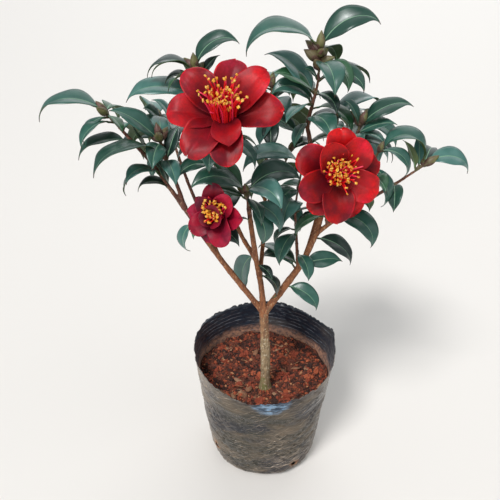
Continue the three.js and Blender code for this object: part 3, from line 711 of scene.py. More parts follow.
def plain_material(name, colour, roughness):
    """One colour with a slight grain in its shade and surface."""
    look = Look(name, colour, roughness)
    darker = tuple(0.72 * c for c in colour)
    look.shade(Base_Color=look.mottled(colour, darker, 0.3, 0.7, 900))
    look.bump(look.grain(1800), 0.3, 0.0002)
    return look.made


def film_base(look, clean, dust, dark):
    """Black film dulled by streaks of dried soil, with barer patches: its colour and its dust."""
    level = look.grain(15, 5.0, (1, 1, 4), 0.52)
    slant = look.grain(17, 5.0, (1, 1, 3.4), 0.52, (0, 0.7, 0.2))
    dusty = look.spread(look.added(level, slant), 0.9, 1.16)
    barer = look.patches(0.46, 0.56, 13, 4.0, (1, 1, 1.8), to=(0.0, 0.85))
    return look.mixed(barer, look.mixed(dusty, clean, dust), dark), dusty


def folds(look, scale, flatness, turn, width):
    """Crisp broken lines where film was folded, as a share that is 1 on the line."""
    off = look.math("ADD", look.grain(scale, 3.0, (1, 1, flatness), 0.5, turn), -0.5)
    line = look.spread(look.math("ABSOLUTE", off), width, 0.0)
    return look.times(line, look.patches(0.46, 0.62, 0.9 * scale, 4.0))


def film_lines(look, scale, thin, turn=(0, 0, 0), breaks=70):
    """Thin broken lines, level unless turned, where the film was folded or stretched."""
    bands = look.node("TexWave", Vector=look.place(turn=turn), Scale=scale, Distortion=1.1,
                      Detail=2.0, Detail_Scale=0.25, bands_direction="Z").outputs["Fac"]
    return look.times(look.spread(bands, thin, 1.0), look.patches(0.42, 0.6, breaks, 3.0))


def film_outside():
    """Scuffed film whose pale crease lines are partly scuffs and partly painted highlights, paler
    at the sides as painted reflection, stained at the holes, with a bare bluish patch in front that
    partly carries painted bluish reflection.
    """
    clean, dust, dark = (0.017, 0.0148, 0.0075), (0.105, 0.076, 0.047), (0.004, 0.005, 0.012)
    look = Look("film_outside", clean, 0.3, Specular_IOR_Level=0.65)
    colour, dusty = film_base(look, clean, dust, dark)
    # Painted reflection: the film grows paler away from the front towards the sides, in a dusty
    # pale colour.
    painted_edge_sheen = look.spread(look.apart_from(FILM_FRONT), 0.068, 0.1, 0.0, 0.75)
    patchy = look.patches(0.38, 0.6, 30, 5.0, (1, 1, 3), 0.6, to=(0.35, 1.0))
    colour = look.mixed(look.times(painted_edge_sheen, patchy), colour, (0.34, 0.285, 0.235))
    creased = look.added(
        folds(look, 14, 8, (0, 0.05, 0), 0.026), folds(look, 11, 6, (0, 0.75, 0.1), 0.02),
        folds(look, 12, 6, (0, -0.85, 0.3), 0.02),
    )
    lines = look.added(film_lines(look, 84, 0.94), film_lines(look, 40, 0.965, (0, 0.6, 0.1), 44))
    # Pale lines along the creases: partly scuffs, partly painted highlights where the wrinkles
    # catch the light.
    scuffs_and_glints = look.added(look.times(creased, 0.4), look.times(lines, 0.5))
    colour = look.mixed(look.spread(scuffs_and_glints, 0, 1), colour, (0.46, 0.36, 0.27))
    crusty = look.patches(0.38, 0.54, 240, 3.0)
    for hole in HOLES:
        soiled = look.spread(look.apart_from(hole_place(*hole)), 0.0085, 0.0045)
        colour = look.mixed(look.times(soiled, crusty), colour, (0.34, 0.15, 0.055))
    # A patch at the front rim that is partly bare bluish film and partly painted bluish reflection;
    # its palest blue is a painted highlight.
    near = look.spread(look.apart_from(BARE_AND_SHEEN_SPOT, BARE_AND_SHEEN_FLATNESS), 0.023, 0.015)
    bare_and_sheen = look.times(near, look.patches(0.3, 0.42, 130, 3.0, (1, 1, 2)))
    blue = look.mottled((0.01, 0.026, 0.052), (0.2, 0.32, 0.46), 0.42, 0.6, 110, 4.0, (1, 1, 3))
    look.shade(Base_Color=look.mixed(bare_and_sheen, colour, blue),
               Roughness=look.spread(dusty, 0, 1, 0.18, 0.5))
    creases = look.times(look.added(creased, lines), 0.6)
    fine = look.times(look.grain(420, 2.0, (1, 1, 2.0), 0.5), 0.12)
    slack = look.times(look.grain(30, 2.0, (1, 1, 2.4), 0.4, (0, -0.3, 0)), 5.0)
    look.bump(look.added(creases, fine, slack), 0.6, 0.0013)
    return look.made


def film_inside():
    """Cleaner film, with pale lines round it and a brown band where soil has washed up."""
    clean, dust, dark = (0.018, 0.025, 0.04), (0.075, 0.07, 0.07), (0.01, 0.017, 0.03)
    look = Look("film_inside", clean, 0.3, Sheen_Weight=0.1, Sheen_Roughness=0.5)
    colour, _ = film_base(look, clean, dust, dark)
    lined = look.mixed(film_lines(look, 66, 0.965), colour, (0.3, 0.32, 0.36))
    washed = look.height_share(122, 114, 5)
    speckled = look.patches(0.35, 0.62, 300, 5.0, to=(0.2, 1.0))
    look.shade(Base_Color=look.mixed(look.times(washed, speckled), lined, (0.44, 0.22, 0.135)),
               Roughness=look.spread(washed, 0, 1, 0.28, 0.85))
    look.bump(look.grain(260, 5.0, (1, 1, 2.6)), 0.22, 0.0008)
    return look.made


def palette(material, rows):
    return [material(*row) for row in rows]


# Leaves

LEAF_ROWS = 40
LEAF_COLUMNS = np.array([0, 0.16, 0.42, 0.72, 1])
LEAF_THICK = 0.32
LEAF_TWIST = 14
LEAF_FOLDS = (0.22, 0.42)
LEAF_DOMES = (0.1, 0.22)
LEAF_GLOSS = dict(Coat_Weight=0.34, Coat_Roughness=0.26)
LEAST_HALF = 0.12
TIP_BROWN = 0.965
RIB_HALF = 0.5
VEINS = 7
UPPER_LOOKS = 5
UPPER_ODDS = [0.27, 0.24, 0.17, 0.2, 0.12]
UNDER_ODDS = 0.6
UNDER_LOOK, PALE_UNDER_LOOK, RIB_LOOK, TIP_LOOK, PETIOLE_LOOK = range(UPPER_LOOKS, UPPER_LOOKS + 5)


def leaf_materials():
    # Upper-side greens: the near-black pair is a painted shade copy and the pale bluish pair a
    # painted light copy, dealt at random with the others.
    uppers_lit_and_shaded = [
        ((0.018, 0.08, 0.058), (0.03, 0.108, 0.082)),
        ((0.008, 0.045, 0.03), (0.014, 0.062, 0.041)),
        ((0.036, 0.125, 0.104), (0.058, 0.165, 0.14)),
        ((0.004, 0.02, 0.015), (0.007, 0.03, 0.022)),
        ((0.016, 0.076, 0.03), (0.026, 0.1, 0.042)),
    ]
    glossy = [leaf_material(f"leaf_upper_{k}", *pair, 0.34, **LEAF_GLOSS)
              for k, pair in enumerate(uppers_lit_and_shaded)]
    return glossy + palette(leaf_material, [
        ("leaf_under", (0.035, 0.075, 0.025), (0.05, 0.095, 0.03), 0.55),
        ("leaf_under_pale", (0.07, 0.11, 0.035), (0.085, 0.13, 0.045), 0.55),
        ("leaf_rib", (0.15, 0.29, 0.18), (0.19, 0.34, 0.21), 0.45),
        ("leaf_tip", (0.05, 0.035, 0.02), (0.03, 0.022, 0.015), 0.6),
        ("leaf_petiole", (0.07, 0.085, 0.03), (0.09, 0.06, 0.03), 0.5),
    ])


def leaf_half(share_along, length):
    share = np.clip((LEAF_STEPS * share_along - PETIOLE_STEPS) / (LEAF_STEPS - PETIOLE_STEPS), 0, 1)
    rise = (share / LEAF_WIDEST) ** 0.9
    fall = ((1 - share) / (1 - LEAF_WIDEST)) ** 1.25
    drawn_out = 1 - 0.4 * smooth(0.72, 0.95, share)
    stalk = 0.75 * PETIOLE_HALF * (1 - share)
    blade = length * LEAF_HALF_SHARE * rise * fall * drawn_out
    return np.maximum(np.maximum(stalk, blade), LEAST_HALF)


def add_leaf(piece, leaf, rng):
    """A leaf folded up along a sunken midrib, with domed halves, side veins and a wavy edge."""
    points, headings = midrib(leaf)
    share = np.linspace(0, 1, LEAF_ROWS)
    spine, along = sampled(share, points), sampled(share, headings)
    along /= np.linalg.norm(along, axis=1)[:, None]
    level = toward(leaf.bearing + 90, 0)
    twist = rng.uniform(-LEAF_TWIST, LEAF_TWIST)
    roll = np.radians(leaf.roll + twist * share)[:, None]
    side = level * np.cos(roll) + np.cross(along, level) * np.sin(roll)
    up = np.cross(along, side)

    half = leaf_half(share, leaf.length)[:, None]
    looks_from = share[1:]
    share = share[:, None]
    blade = smooth(PETIOLE_STEPS / LEAF_STEPS, 0.2, share)
    rib = np.minimum(RIB_HALF * (1.15 - share), 0.6 * half)
    right = rib + (half - rib) * LEAF_COLUMNS
    across = np.concatenate([-right[:, ::-1], right], 1)
    reach = np.abs(across) / half
    on_rib = reach < 1.01 * rib / half
    fold, dome = rng.uniform(*LEAF_FOLDS), rng.uniform(*LEAF_DOMES)
    phase = rng.uniform(0, PHASES, 2)
    veins = np.cos(2 * np.pi * (VEINS * share - 1.5 * reach)) * reach * (1 - reach)
    ripple = np.sin(2 * np.pi * 2.1 * share + np.where(across > 0, *phase)) * reach**2
    lift = half * (fold * reach - dome * reach**2 + 0.06 * ripple) + 0.22 * veins
    lift = blade * lift - 0.12 * blade * on_rib + 0.1
    thick = LEAF_THICK + 0.9 * (1 - blade) + 0.5 * (1 - share) * on_rib

    def surface(height):
        return spine[:, None] + across[..., None] * side[:, None] + height[..., None] * up[:, None]

    columns = across.shape[1]
    look = np.full((LEAF_ROWS - 1, 2 * columns), rng.choice(UPPER_LOOKS, p=UPPER_ODDS))
    look[:, columns:] = UNDER_LOOK if rng.random() < UNDER_ODDS else PALE_UNDER_LOOK
    middle = columns // 2 - 1
    look[:, [middle, columns + middle]] = RIB_LOOK
    look[looks_from > TIP_BROWN] = TIP_LOOK
    look[looks_from < PETIOLE_STEPS / LEAF_STEPS] = PETIOLE_LOOK
    piece.loft(np.concatenate([surface(lift)[:, ::-1], surface(lift - thick)], 1), look)


def make_leaves(crown):
    """The leaves in a few joined pieces, each for the masses on one side of the crown."""
    materials = leaf_materials()
    sides = {
        "leaves_left": lambda name: "left" in name or name == "foliage_bloom_small",
        "leaves_right": lambda name: "right" in name,
        "leaves_back": lambda name: "back" in name,
        "leaves_middle": lambda name: True,
    }
    pieces = {side: Piece() for side in sides}
    held = {side: [] for side in sides}
    for number, (name, leaves) in enumerate(crown.leaves.items()):
        side = next(side for side, has in sides.items() if has(name))
        rng = np.random.default_rng(100 + number)
        if name in MASSES:
            held[side].append(name)
        for leaf in leaves:
            add_leaf(pieces[side], leaf, rng)
    for side, piece in pieces.items():
        piece.build(side, materials, "leaf", held[side])


# Bark and twigs

BARK_TOPS = [(3, 123), (2, 182), (1, 212), (0, 325), (4, math.inf)]  # each look and its top
BARK_SIDES = 14
BARK_STEP = 2.0
BARK_VOXEL = 0.62
BARK_RELIEF = 0.22
COLLAR = 0.9
COLLAR_LENGTH = 7
KNOT = 0.13
KNOT_LENGTH = 1.3
KNOT_GAPS = (14, 34)
FORK_SWELL = 0.5
FORK_LENGTH = 7
TWIG_SIDES = 10
TWIG_STEP = 1.2
TWIG_RADIUS = 1.9
TWIG_KNOT = 0.22
TWIG_KNOT_LENGTH = 0.8
TWIG_KNOT_GAPS = (6, 13)
TWIG_TAPER = 1.6
TWIG_TIP = 0.7


def swollen(distance, knots, length):
    """How much of a swelling is left at a distance along a limb with knots."""
    return bell((distance - knots) / length).sum()


def limb_rings(limb, is_trunk, rng):
    knots = np.cumsum(rng.uniform(*KNOT_GAPS, 40)) + rng.uniform(0, 12)
    angle = all_round(BARK_SIDES)
    rings = []
    for share in np.linspace(0, 1, int(limb.length / BARK_STEP)):
        distance = share * limb.length
        radius = limb.radius(share)
        if is_trunk:
            radius += ROOT_FLARE * math.exp(-distance / FLARE_HEIGHT)
            radius += FORK_SWELL * bell((limb.length - distance) / FORK_LENGTH)
        else:
            radius += COLLAR * math.exp(-distance / COLLAR_LENGTH)
        radius += KNOT * limb.radius(share) * swollen(distance, knots, KNOT_LENGTH)
        lobes = 1 + 0.05 * np.sin(3 * angle + distance / 23)
        lobes += 0.03 * np.sin(2 * angle - distance / 11)
        rings.append(limb.ring(share, radius * lobes, BARK_SIDES))
    rings.append(limb.ring(1, limb.radius(1) * 0.5, BARK_SIDES))
    return rings


def make_bark(limbs):
    piece = Piece()
    rng = np.random.default_rng(7)
    for name, limb in limbs.items():
        piece.loft(limb_rings(limb, name == "trunk", rng))
    materials = palette(bark_material, [
        ("bark", (0.32, 0.12, 0.046), (0.16, 0.056, 0.026), (0.45, 0.25, 0.13)),
        ("bark_between", (0.29, 0.15, 0.07), (0.15, 0.074, 0.038), (0.44, 0.29, 0.17)),
        ("bark_trunk", (0.36, 0.25, 0.14), (0.19, 0.13, 0.07), (0.58, 0.5, 0.36)),
        ("bark_algae", (0.17, 0.17, 0.055), (0.31, 0.22, 0.12), (0.5, 0.44, 0.28)),
        ("bark_young", (0.17, 0.06, 0.036), (0.095, 0.038, 0.026), (0.33, 0.2, 0.12)),
    ])
    obj = piece.build("bark", materials, "bark", list(LIMBS))
    modified(obj, "REMESH", mode="VOXEL", voxel_size=BARK_VOXEL * MM, use_smooth_shade=True)
    relieve_bark(obj.data, limbs)
    for made in materials:
        if made.name not in obj.data.materials:
            obj.data.materials.append(made)
    shade_bark(obj.data)


def relieve_bark(mesh, limbs):
    """Raises fine ridges that run along each limb."""
    tree = KDTree(Limb.DIVISIONS * len(limbs))
    samples = []
    for limb in limbs.values():
        for share in (np.arange(limb.DIVISIONS) + 0.5) / limb.DIVISIONS:
            tree.insert(limb.at(share) * MM, len(samples))
            samples.append((limb.at(share), limb.heading(share), share * limb.length))
    tree.balance()
    points, normals = read(mesh.vertices, "co").astype(float), read(mesh.vertex_normals, "vector")
    heights = np.zeros(len(points))
    for k, point in enumerate(points):
        centre, heading, distance = samples[tree.find(point)[1]]
        out = point / MM - centre
        ahead = out @ heading
        place = Vector(unit(out - ahead * heading) * 2.6) + Vector((0, 0, (distance + ahead) / 7))
        heights[k] = noise.fractal(place, 0.7, 2.0, 3)
    write(mesh.vertices, "co", points + BARK_RELIEF * MM * heights[:, None] * normals, np.float32)
    mesh.update()


def shade_bark(mesh):
    """Grey-olive bark at the foot of the trunk, browner above, in patches with soft borders."""
    looks = []
    for place in read(mesh.polygons, "center") / MM:
        wander = 16 * noise.noise(Vector(place) / 6) + 8 * noise.noise(Vector(place) / 2)
        looks.append(next(look for look, top in BARK_TOPS if place[2] + wander < top))
    write(mesh.polygons, "material_index", looks)
    mesh.update()


def make_twigs(limbs, stems):
    """The masses' stems: slim reddish shoots, ringed where leaves have stood."""
    piece = Piece()
    rng = np.random.default_rng(11)
    for name, stem in stems.items():
        mass = MASSES[name]
        knots = np.cumsum(rng.uniform(*TWIG_KNOT_GAPS, 30))
        thick = limbs[mass.on].radius(1) if mass.at == 1 else TWIG_RADIUS
        rings, looks = [], []
        for distance in np.arange(0, stem.length, TWIG_STEP):
            share = distance / stem.length
            radius = lerp(thick, 1.0, min(1, share * TWIG_TAPER))
            radius *= 1 + TWIG_KNOT * swollen(distance, knots, TWIG_KNOT_LENGTH)
            rings.append(stem.ring(share, radius, TWIG_SIDES))
            looks.append(1 if share > TWIG_TIP and name not in BLOOMS else 0)
        rings.append(stem.ring(1, 0.5, TWIG_SIDES))
        piece.loft(rings, np.repeat(np.array(looks)[:, None], TWIG_SIDES, 1))
    piece.build("twigs", palette(bark_material, [
        ("twig", (0.19, 0.065, 0.035), (0.11, 0.04, 0.025), (0.32, 0.18, 0.1)),
        ("twig_tip", (0.1, 0.09, 0.035), (0.12, 0.055, 0.03), (0.2, 0.17, 0.09)),
    ]), "bark")


# Buds

SCALE_ROWS = 7
SCALE_COLUMNS = 7
SCALE_THICK = 0.28
SCALE_TURN = 2.4
SCALE_SPREAD = 0.95
BUD_SCALES = 9
BUD_WIDEST = 0.42
BUD_LONGER = 1.04
BUD_SLIMMER = 0.92
BUD_END = 1.04
SIDE_BUD_LENGTHS = (3.5, 6.5)
SIDE_BUD_RADII = (0.9, 1.5)
SIDE_BUD_SHARES = (0, 0.2, 0.42, 0.7, 0.9, 1)
LEADER_FULLER = 1.18


def bud_profile(share):
    share = np.clip(share, 0, 1.02)
    beyond = np.maximum(share - BUD_WIDEST, 0) / (BUD_END - BUD_WIDEST)
    return np.where(share < BUD_WIDEST, 0.5 + 0.5 * np.sin(np.pi / 2 * share / BUD_WIDEST),
                    np.clip(1 - beyond**1.7, 0.02, 1))


def add_scale(piece, root, way, length, radius, turn, start, end, look, opened=SCALE_SPREAD):
    """One pointed scale that hugs a bud, from a start to an end share of its length."""
    u, v = square_to(way, [0.3, 0.9, 0.2])
    t = np.linspace(0, 1, SCALE_ROWS)[:, None]
    a = np.linspace(1, -1, SCALE_COLUMNS)[None]
    angle = turn + a * opened * np.sqrt(np.clip(1 - t**2.2, 0.0004, 1))
    share = lerp(start, end, t) - 0.05 * a**2 * (1 - t)
    out = bud_profile(share) * radius * (1.05 + 0.05 * t) + 0.12 * (1 - np.abs(a)) * (1 - t)

    def surface(distance):
        return root + (share * length)[..., None] * way + distance[..., None] * spoke(angle, u, v)

    piece.loft(np.concatenate([surface(out), surface(out - SCALE_THICK)[:, ::-1]], 1), look)


def add_core(piece, root, way, length, radius, shares, look, sides=6):
    add_rod(piece, [root, root + way * length], shares, lambda s: radius * float(bud_profile(s)),
            look, sides)


def add_bud(piece, root, way, length, radius, rng):
    """A pointed bud: a core under overlapping scales, brown below and green above."""
    add_core(piece, root, way, length, radius, np.linspace(0, 1, 9), 1, 12)
    turn = rng.uniform(0, 6)
    for k in range(BUD_SCALES):
        share = k / (BUD_SCALES - 1)
        look = 2 if share < 0.3 else rng.choice([0, 1, 3], p=[0.5, 0.3, 0.2])
        end = lerp(0.38, 1.02, share**0.8)
        add_scale(piece, root, way, length, radius, turn + k * SCALE_TURN, 0.5 * share, end, look)


def add_side_buds(piece, limbs, stems, crown):
    """A small bud in the angle over each leaf's stalk."""
    rng = np.random.default_rng(29)
    for name, leaves in crown.leaves.items():
        heading = stems[name].heading(0.7) if name in stems else limbs[name].heading(0.5)
        for leaf in leaves:
            way = unit(toward(leaf.bearing, leaf.climb) + rng.uniform(1, 2) * heading)
            length, radius = rng.uniform(*SIDE_BUD_LENGTHS), rng.uniform(*SIDE_BUD_RADII)
            look = int(rng.integers(1, 4))
            add_core(piece, leaf.root, way, length, radius, SIDE_BUD_SHARES, look)


def make_buds(limbs, stems, crown):
    piece = Piece()
    add_side_buds(piece, limbs, stems, crown)
    rng = np.random.default_rng(23)
    for name, mass in MASSES.items():
        draw = draws(mass.seed + 7)
        heading = stems[name].heading(1)
        for k in range(mass.buds):
            splay = 0 if k == 0 else math.radians(lerp(*BUD_SPLAYS, next(draw)))
            flat = toward(k * DIVERGENCE, 0)
            way = spoke(splay, heading, unit(flat - heading * (flat @ heading)))
            size = lerp(*BUD_SIZES, next(draw)) * (LEADER_FULLER if name == "foliage_leader" else 1)
            root = stems[name].at(1 - BUD_SPACING * k) - BUD_SUNK * way
            length, radius = BUD_LONGER * BUD_LENGTH * size, BUD_SLIMMER * BUD_RADIUS * size
            add_bud(piece, root, way, length, radius, rng)
    piece.build("buds", palette(leaf_material, [
        ("bud_green", (0.11, 0.12, 0.035), (0.17, 0.15, 0.06), 0.5),
        ("bud_olive", (0.1, 0.08, 0.032), (0.15, 0.12, 0.06), 0.5),
        ("bud_brown", (0.07, 0.034, 0.022), (0.11, 0.06, 0.036), 0.6),
        ("bud_purple", (0.1, 0.04, 0.034), (0.15, 0.075, 0.05), 0.5),
    ]), "leaf")


# Blooms

# Each bloom's name, how wide its petals are, and their colours within and without
BLOOM_LOOKS = {
    "foliage_bloom_large": ("bloom_large", 0.9, (0.06, 0.001, 0.003), (0.55, 0.004, 0.009)),
    "foliage_bloom_small": ("bloom_small", 1.0, (0.045, 0.001, 0.005), (0.34, 0.003, 0.022)),
    "foliage_bloom_right": ("bloom_right", 1.02, (0.055, 0.001, 0.002), (0.62, 0.004, 0.006)),
}
PETAL_SHADES = [(1, 1), (0.8, 0.7), (1, 1.2), (1, 1.3)]  # of the two colours, the last on rims
PETAL_RIM_LOOK = 3
PETAL_ROWS = 34
PETAL_COLUMNS = 25
PETAL_THICK = 0.55
POINTED, POINTED_ODDS = [0, 0.15, 0.8], [0.5, 0.3, 0.2]
PETAL_NOTCH = 0.05
PETAL_WIDTHS = (0.93, 1.07)
PETAL_CREASES = (0.04, 0.16)
PETAL_ROLL = 0.2
FILAMENTS = 104
OUTER_FILAMENTS = 44
FILAMENT_RADII = (0.95, 0.45)
BRUSH_REACH = 0.64
BRUSH_LIFT = 0.42
ANTHERLESS = 0.16
ANTHER_LENGTH = 3.0
ANTHER_RADIUS = 0.85
PISTILS = 3
PISTIL_RADII = (0.7, 0.35)
CALYX_SCALES = 8
CALYX_LENGTH = 15
CALYX_RADIUS = 5.6
CALYX_BEHIND = 10


def petal_half(share, half, pointed):
    """A petal's half width: broad and round-ended, or drawn to a point."""
    grown = np.sin(np.pi / 2 * np.minimum(share / PETAL_WIDEST, 1))
    fall = np.clip((share - PETAL_WIDEST) / (1 - PETAL_WIDEST), 0, 1)
    rounded = (1 - fall ** lerp(2.2, 1.6, pointed)) ** lerp(0.52, 0.85, pointed)
    return half * lerp(PETAL_ROOT_SHARE, 1, grown) * np.maximum(rounded, 0.03)


def add_petal(piece, centre, axis, out, length, opening, width, rng, look):
    """A cupped petal with a ruffled edge that rolls back, and a round, notched or pointed tip."""
    side = np.cross(axis, out)
    spot, spots, ups = centre.copy(), [], []
    for share in np.arange(PETAL_STEPS + 1) / PETAL_STEPS:
        climb = math.radians(opening + PETAL_CUP * math.sin(math.pi * share) - PETAL_BEND * share)
        along = spoke(climb, out, axis)
        spots.append(spot.copy())
        ups.append(np.cross(along, side))
        spot += along * length / PETAL_STEPS
    a = np.linspace(1, -1, PETAL_COLUMNS)[None]
    v = (1 - (1 - np.linspace(0, 1, PETAL_ROWS)) ** 1.7)[:, None]
    pointed = rng.choice(POINTED, p=POINTED_ODDS)
    notch = rng.uniform(0.0, PETAL_NOTCH) * (pointed < 0.5)
    share = np.clip(v - notch * bell(a / 0.4) * v**8, 0, 1)
    spine, up = sampled(share, spots), sampled(share, ups)
    phase = rng.uniform(0, PHASES, 6)
    full = length * PETAL_HALF_SHARE * width * rng.uniform(*PETAL_WIDTHS)
    half = petal_half(v, full, pointed)
    half = half * (1 + 0.035 * np.sin(9 * v + np.where(a > 0, phase[4], phase[5])) * v)
    dish = PETAL_DISH * (1 - 1.25 * smooth(0.5, 1.0, v)) * a**2
    ruffle = 0.1 * np.sin(7.5 * share + np.where(a > 0, phase[0], phase[1])) * np.abs(a) ** 2.5
    ruffle = ruffle + 0.03 * np.sin(17 * share + 3 * a + phase[2]) * np.abs(a) ** 3
    crease = rng.uniform(*PETAL_CREASES) * (1 - np.exp(-np.abs(a) * 2.5)) * smooth(0.05, 0.5, v)
    swell = 0.05 * np.sin(5 * v + 2.5 * a + phase[3]) * smooth(0.2, 0.7, v)
    rolled = rng.uniform(0.0, PETAL_ROLL) * smooth(0.78, 1.0, v)
    ribs = 0.045 * np.sin(24 * a + 2 * np.sin(3 * v)) * smooth(0.1, 0.4, v)
    lift = half * (dish + crease) + full * (ruffle + swell - rolled) + ribs
    lift = lift * smooth(-0.02, 0.12, v)

    def surface(height):
        return spine + (a * half)[..., None] * side + height[..., None] * up

    thin = PETAL_THICK * (1 - 0.5 * v) / 2
    looks = np.full((PETAL_ROWS - 1, 2 * PETAL_COLUMNS), look)
    last = PETAL_COLUMNS - 1
    looks[:, [0, last - 1, last, last + 1, 2 * last, 2 * last + 1]] = PETAL_RIM_LOOK
    looks[v[1:, 0] > 0.985] = PETAL_RIM_LOOK
    piece.loft(np.concatenate([surface(lift + thin), surface(lift - thin)[:, ::-1]], 1), looks)


def add_ball(piece, centre, way, length, radius, look):
    half = way * length / 2
    add_rod(piece, [centre - half, centre + half], (0.02, 0.2, 0.5, 0.8, 0.98),
            lambda s: radius * math.sqrt(1 - (2 * s - 1) ** 2), look)


def add_thread(piece, points, radii, look):
    add_rod(piece, points, np.linspace(0, 1, 7), lambda s: lerp(*radii, s), look)


def add_stamens(piece, centre, axis, reach, rng):
    """A brush of filaments, joined at the foot and splayed at the top, most with an anther, and a
    few pistils.
    """
    axis = unit(axis + [0, 0, BRUSH_LIFT])
    u, v = square_to(axis, [0.2, 0.3, 0.9])
    for k in range(FILAMENTS):
        if k < OUTER_FILAMENTS:
            share, turn = 1, 2 * math.pi * k / OUTER_FILAMENTS
        else:
            share = lerp(0.25, 0.92, math.sqrt((k - OUTER_FILAMENTS) / FILAMENTS))
            turn = k * math.radians(DIVERGENCE)
        out = spoke(turn + rng.uniform(-0.08, 0.08), u, v)
        foot = centre + out * reach * 0.2 * share
        height = reach * BRUSH_REACH * rng.uniform(0.66, 1.08) * lerp(0.85, 1.0, share**2)
        splay = reach * STAMENS_RADIUS * share**2 * rng.uniform(-0.1, 0.8)
        sway = rng.normal(0, 0.04 * reach, 3)
        knee = foot + axis * height * 0.6 + out * splay * 0.2 + 0.6 * rng.normal(0, 0.03 * reach, 3)
        top = foot + axis * height + out * splay + sway
        add_thread(piece, [foot, knee, top], FILAMENT_RADII, 0 if rng.random() < 0.6 else 1)
        if rng.random() < ANTHERLESS:
            continue
        way = unit(Limb([foot, knee, top]).heading(1) + rng.normal(0, 0.5, 3))
        aside = unit(np.cross(way, axis + rng.normal(0, 0.3, 3)))
        size = rng.uniform(0.7, 1.0)
        for shift in (-0.6, 0.6):
            look = rng.choice([2, 3, 4], p=[0.45, 0.3, 0.25])
            add_ball(piece, top + aside * shift * size, way, ANTHER_LENGTH * size,
                     ANTHER_RADIUS * size, look)
    for k in range(PISTILS):
        lean = unit(axis + 0.12 * spoke(2.1 * k, u, v))
        points = [centre, centre + axis * reach * 0.35, centre + lean * reach * STAMENS_REACH]
        add_thread(piece, points, PISTIL_RADII, 1)


def add_calyx(piece, centre, axis):
    """Overlapping scales that cup the foot of the bloom."""
    root = centre - CALYX_BEHIND * axis
    for k in range(CALYX_SCALES):
        share = k / (CALYX_SCALES - 1)
        add_scale(piece, root, axis, CALYX_LENGTH, CALYX_RADIUS, k * SCALE_TURN, 0.12 * share,
                  lerp(0.55, 1.0, share), k % 3, 1.0)


def make_blooms():
    stamens, calyx = Piece(), Piece()
    for number, (mass, (name, width, inner, outer)) in enumerate(BLOOM_LOOKS.items()):
        bloom = BLOOMS[mass]
        rng = np.random.default_rng(40 + number)
        axis = toward(*bloom.facing)
        right = toward(bloom.facing[0] + 90, 0)
        over = np.cross(axis, right)
        centre = np.array(bloom.at, float)
        petals = Piece()
        for angle, share, raised in bloom.petals:
            out = spoke(math.radians(angle), right, over)
            root = centre + axis * raised * PETAL_AHEAD
            look = int(rng.integers(3))
            add_petal(petals, root, axis, out, share * bloom.reach, bloom.opening + raised, width,
                      rng, look)
        materials = [
            petal_material(f"{name}_{k}", tuple(dim * c for c in inner),
                           tuple(bright * c for c in outer), centre, bloom.reach)
            for k, (dim, bright) in enumerate(PETAL_SHADES)
        ]
        petals.build(f"{name}_petals", materials, "petal", [mass])
        add_stamens(stamens, centre, axis, bloom.reach, rng)
        add_calyx(calyx, centre, axis)
    stamens.build("stamens", palette(plain_material, [
        ("filament", (0.9, 0.012, 0.016), 0.35),
        ("filament_pink", (0.95, 0.035, 0.1), 0.35),
        ("anther", (0.88, 0.42, 0.025), 0.6),
        ("anther_pale", (0.92, 0.56, 0.11), 0.6),
        ("anther_orange", (0.78, 0.24, 0.02), 0.6),
    ]), "petal")
    calyx.build("calyxes", palette(leaf_material, [
        ("calyx_green", (0.1, 0.11, 0.04), (0.13, 0.13, 0.05), 0.5),
        ("calyx_brown", (0.08, 0.045, 0.03), (0.11, 0.07, 0.04), 0.6),
        ("calyx_olive", (0.12, 0.09, 0.04), (0.09, 0.07, 0.03), 0.6),
    ]), "leaf")


# The bag

FILM_ROWS = 118
FILM_SIDES = 330
FILM_THICK = 0.35
FILM_RADIUS = 74
FLOOR_RINGS = 6
LIFTED = 0.05
FILM_INSET = 0.1
HOLE_REACH = 12  # how far from a hole's centre faces are looked at, so none across the bag
FOLD_BEARING = 14
FOLD_WIDTH = 0.13
FOLD_OUT = 3.2
FOLD_UP = 2.5
RIM_LIP = 0.9
RIM_TEAR = 1.7
RIM_NICK = 1.8
SWELL = 1.2
HOOPS = 0.2
HOOP_STEP = 0.95
SOIL_CALM = 0.75  # the share of the creases that the soil's pressure evens out
SOIL_CALM_HEIGHT = 9
# Where the bare bluish patch with its painted reflection sits, and how flat it is
BARE_AND_SHEEN_SPOT = (6, -77, 129)
BARE_AND_SHEEN_FLATNESS = 1.45
# The point on the bag's front that the painted edge reflection grows paler away from
FILM_FRONT = (0, -75, 70)
# Creases: depth, width, height, rise with x and with y, place in the noise and sharpness
FILM_CREASES = [
    (-0.6, 34, 7, 0, 0, 0, 3.4), (-1.1, 26, 10, 0.8, 0, 20, 3.6),
    (-1.0, 26, 10, -0.9, 0.3, 50, 3.6), (-0.4, 9, 3, 0.3, 0, 70, 2.2),
]


def bag_radius(height, bearing):
    grown = lerp(BAG_FOOT_RADIUS, BAG_RIM_RADIUS, (np.maximum(height, 0) / BAG_HEIGHT) ** BAG_FLARE)
    tucked = 1 - BAG_TUCK * np.maximum(0, 1 - height / BAG_TUCK_HEIGHT) ** 2.2
    sag = 1 + BAG_OVAL * np.cos(2 * bearing + 1) + BAG_WOBBLE * np.sin(5 * bearing)
    return grown * tucked * sag


def hole_place(bearing, height):
    b = math.radians(bearing)
    return np.array([*polar(bag_radius(height, b), b), height])


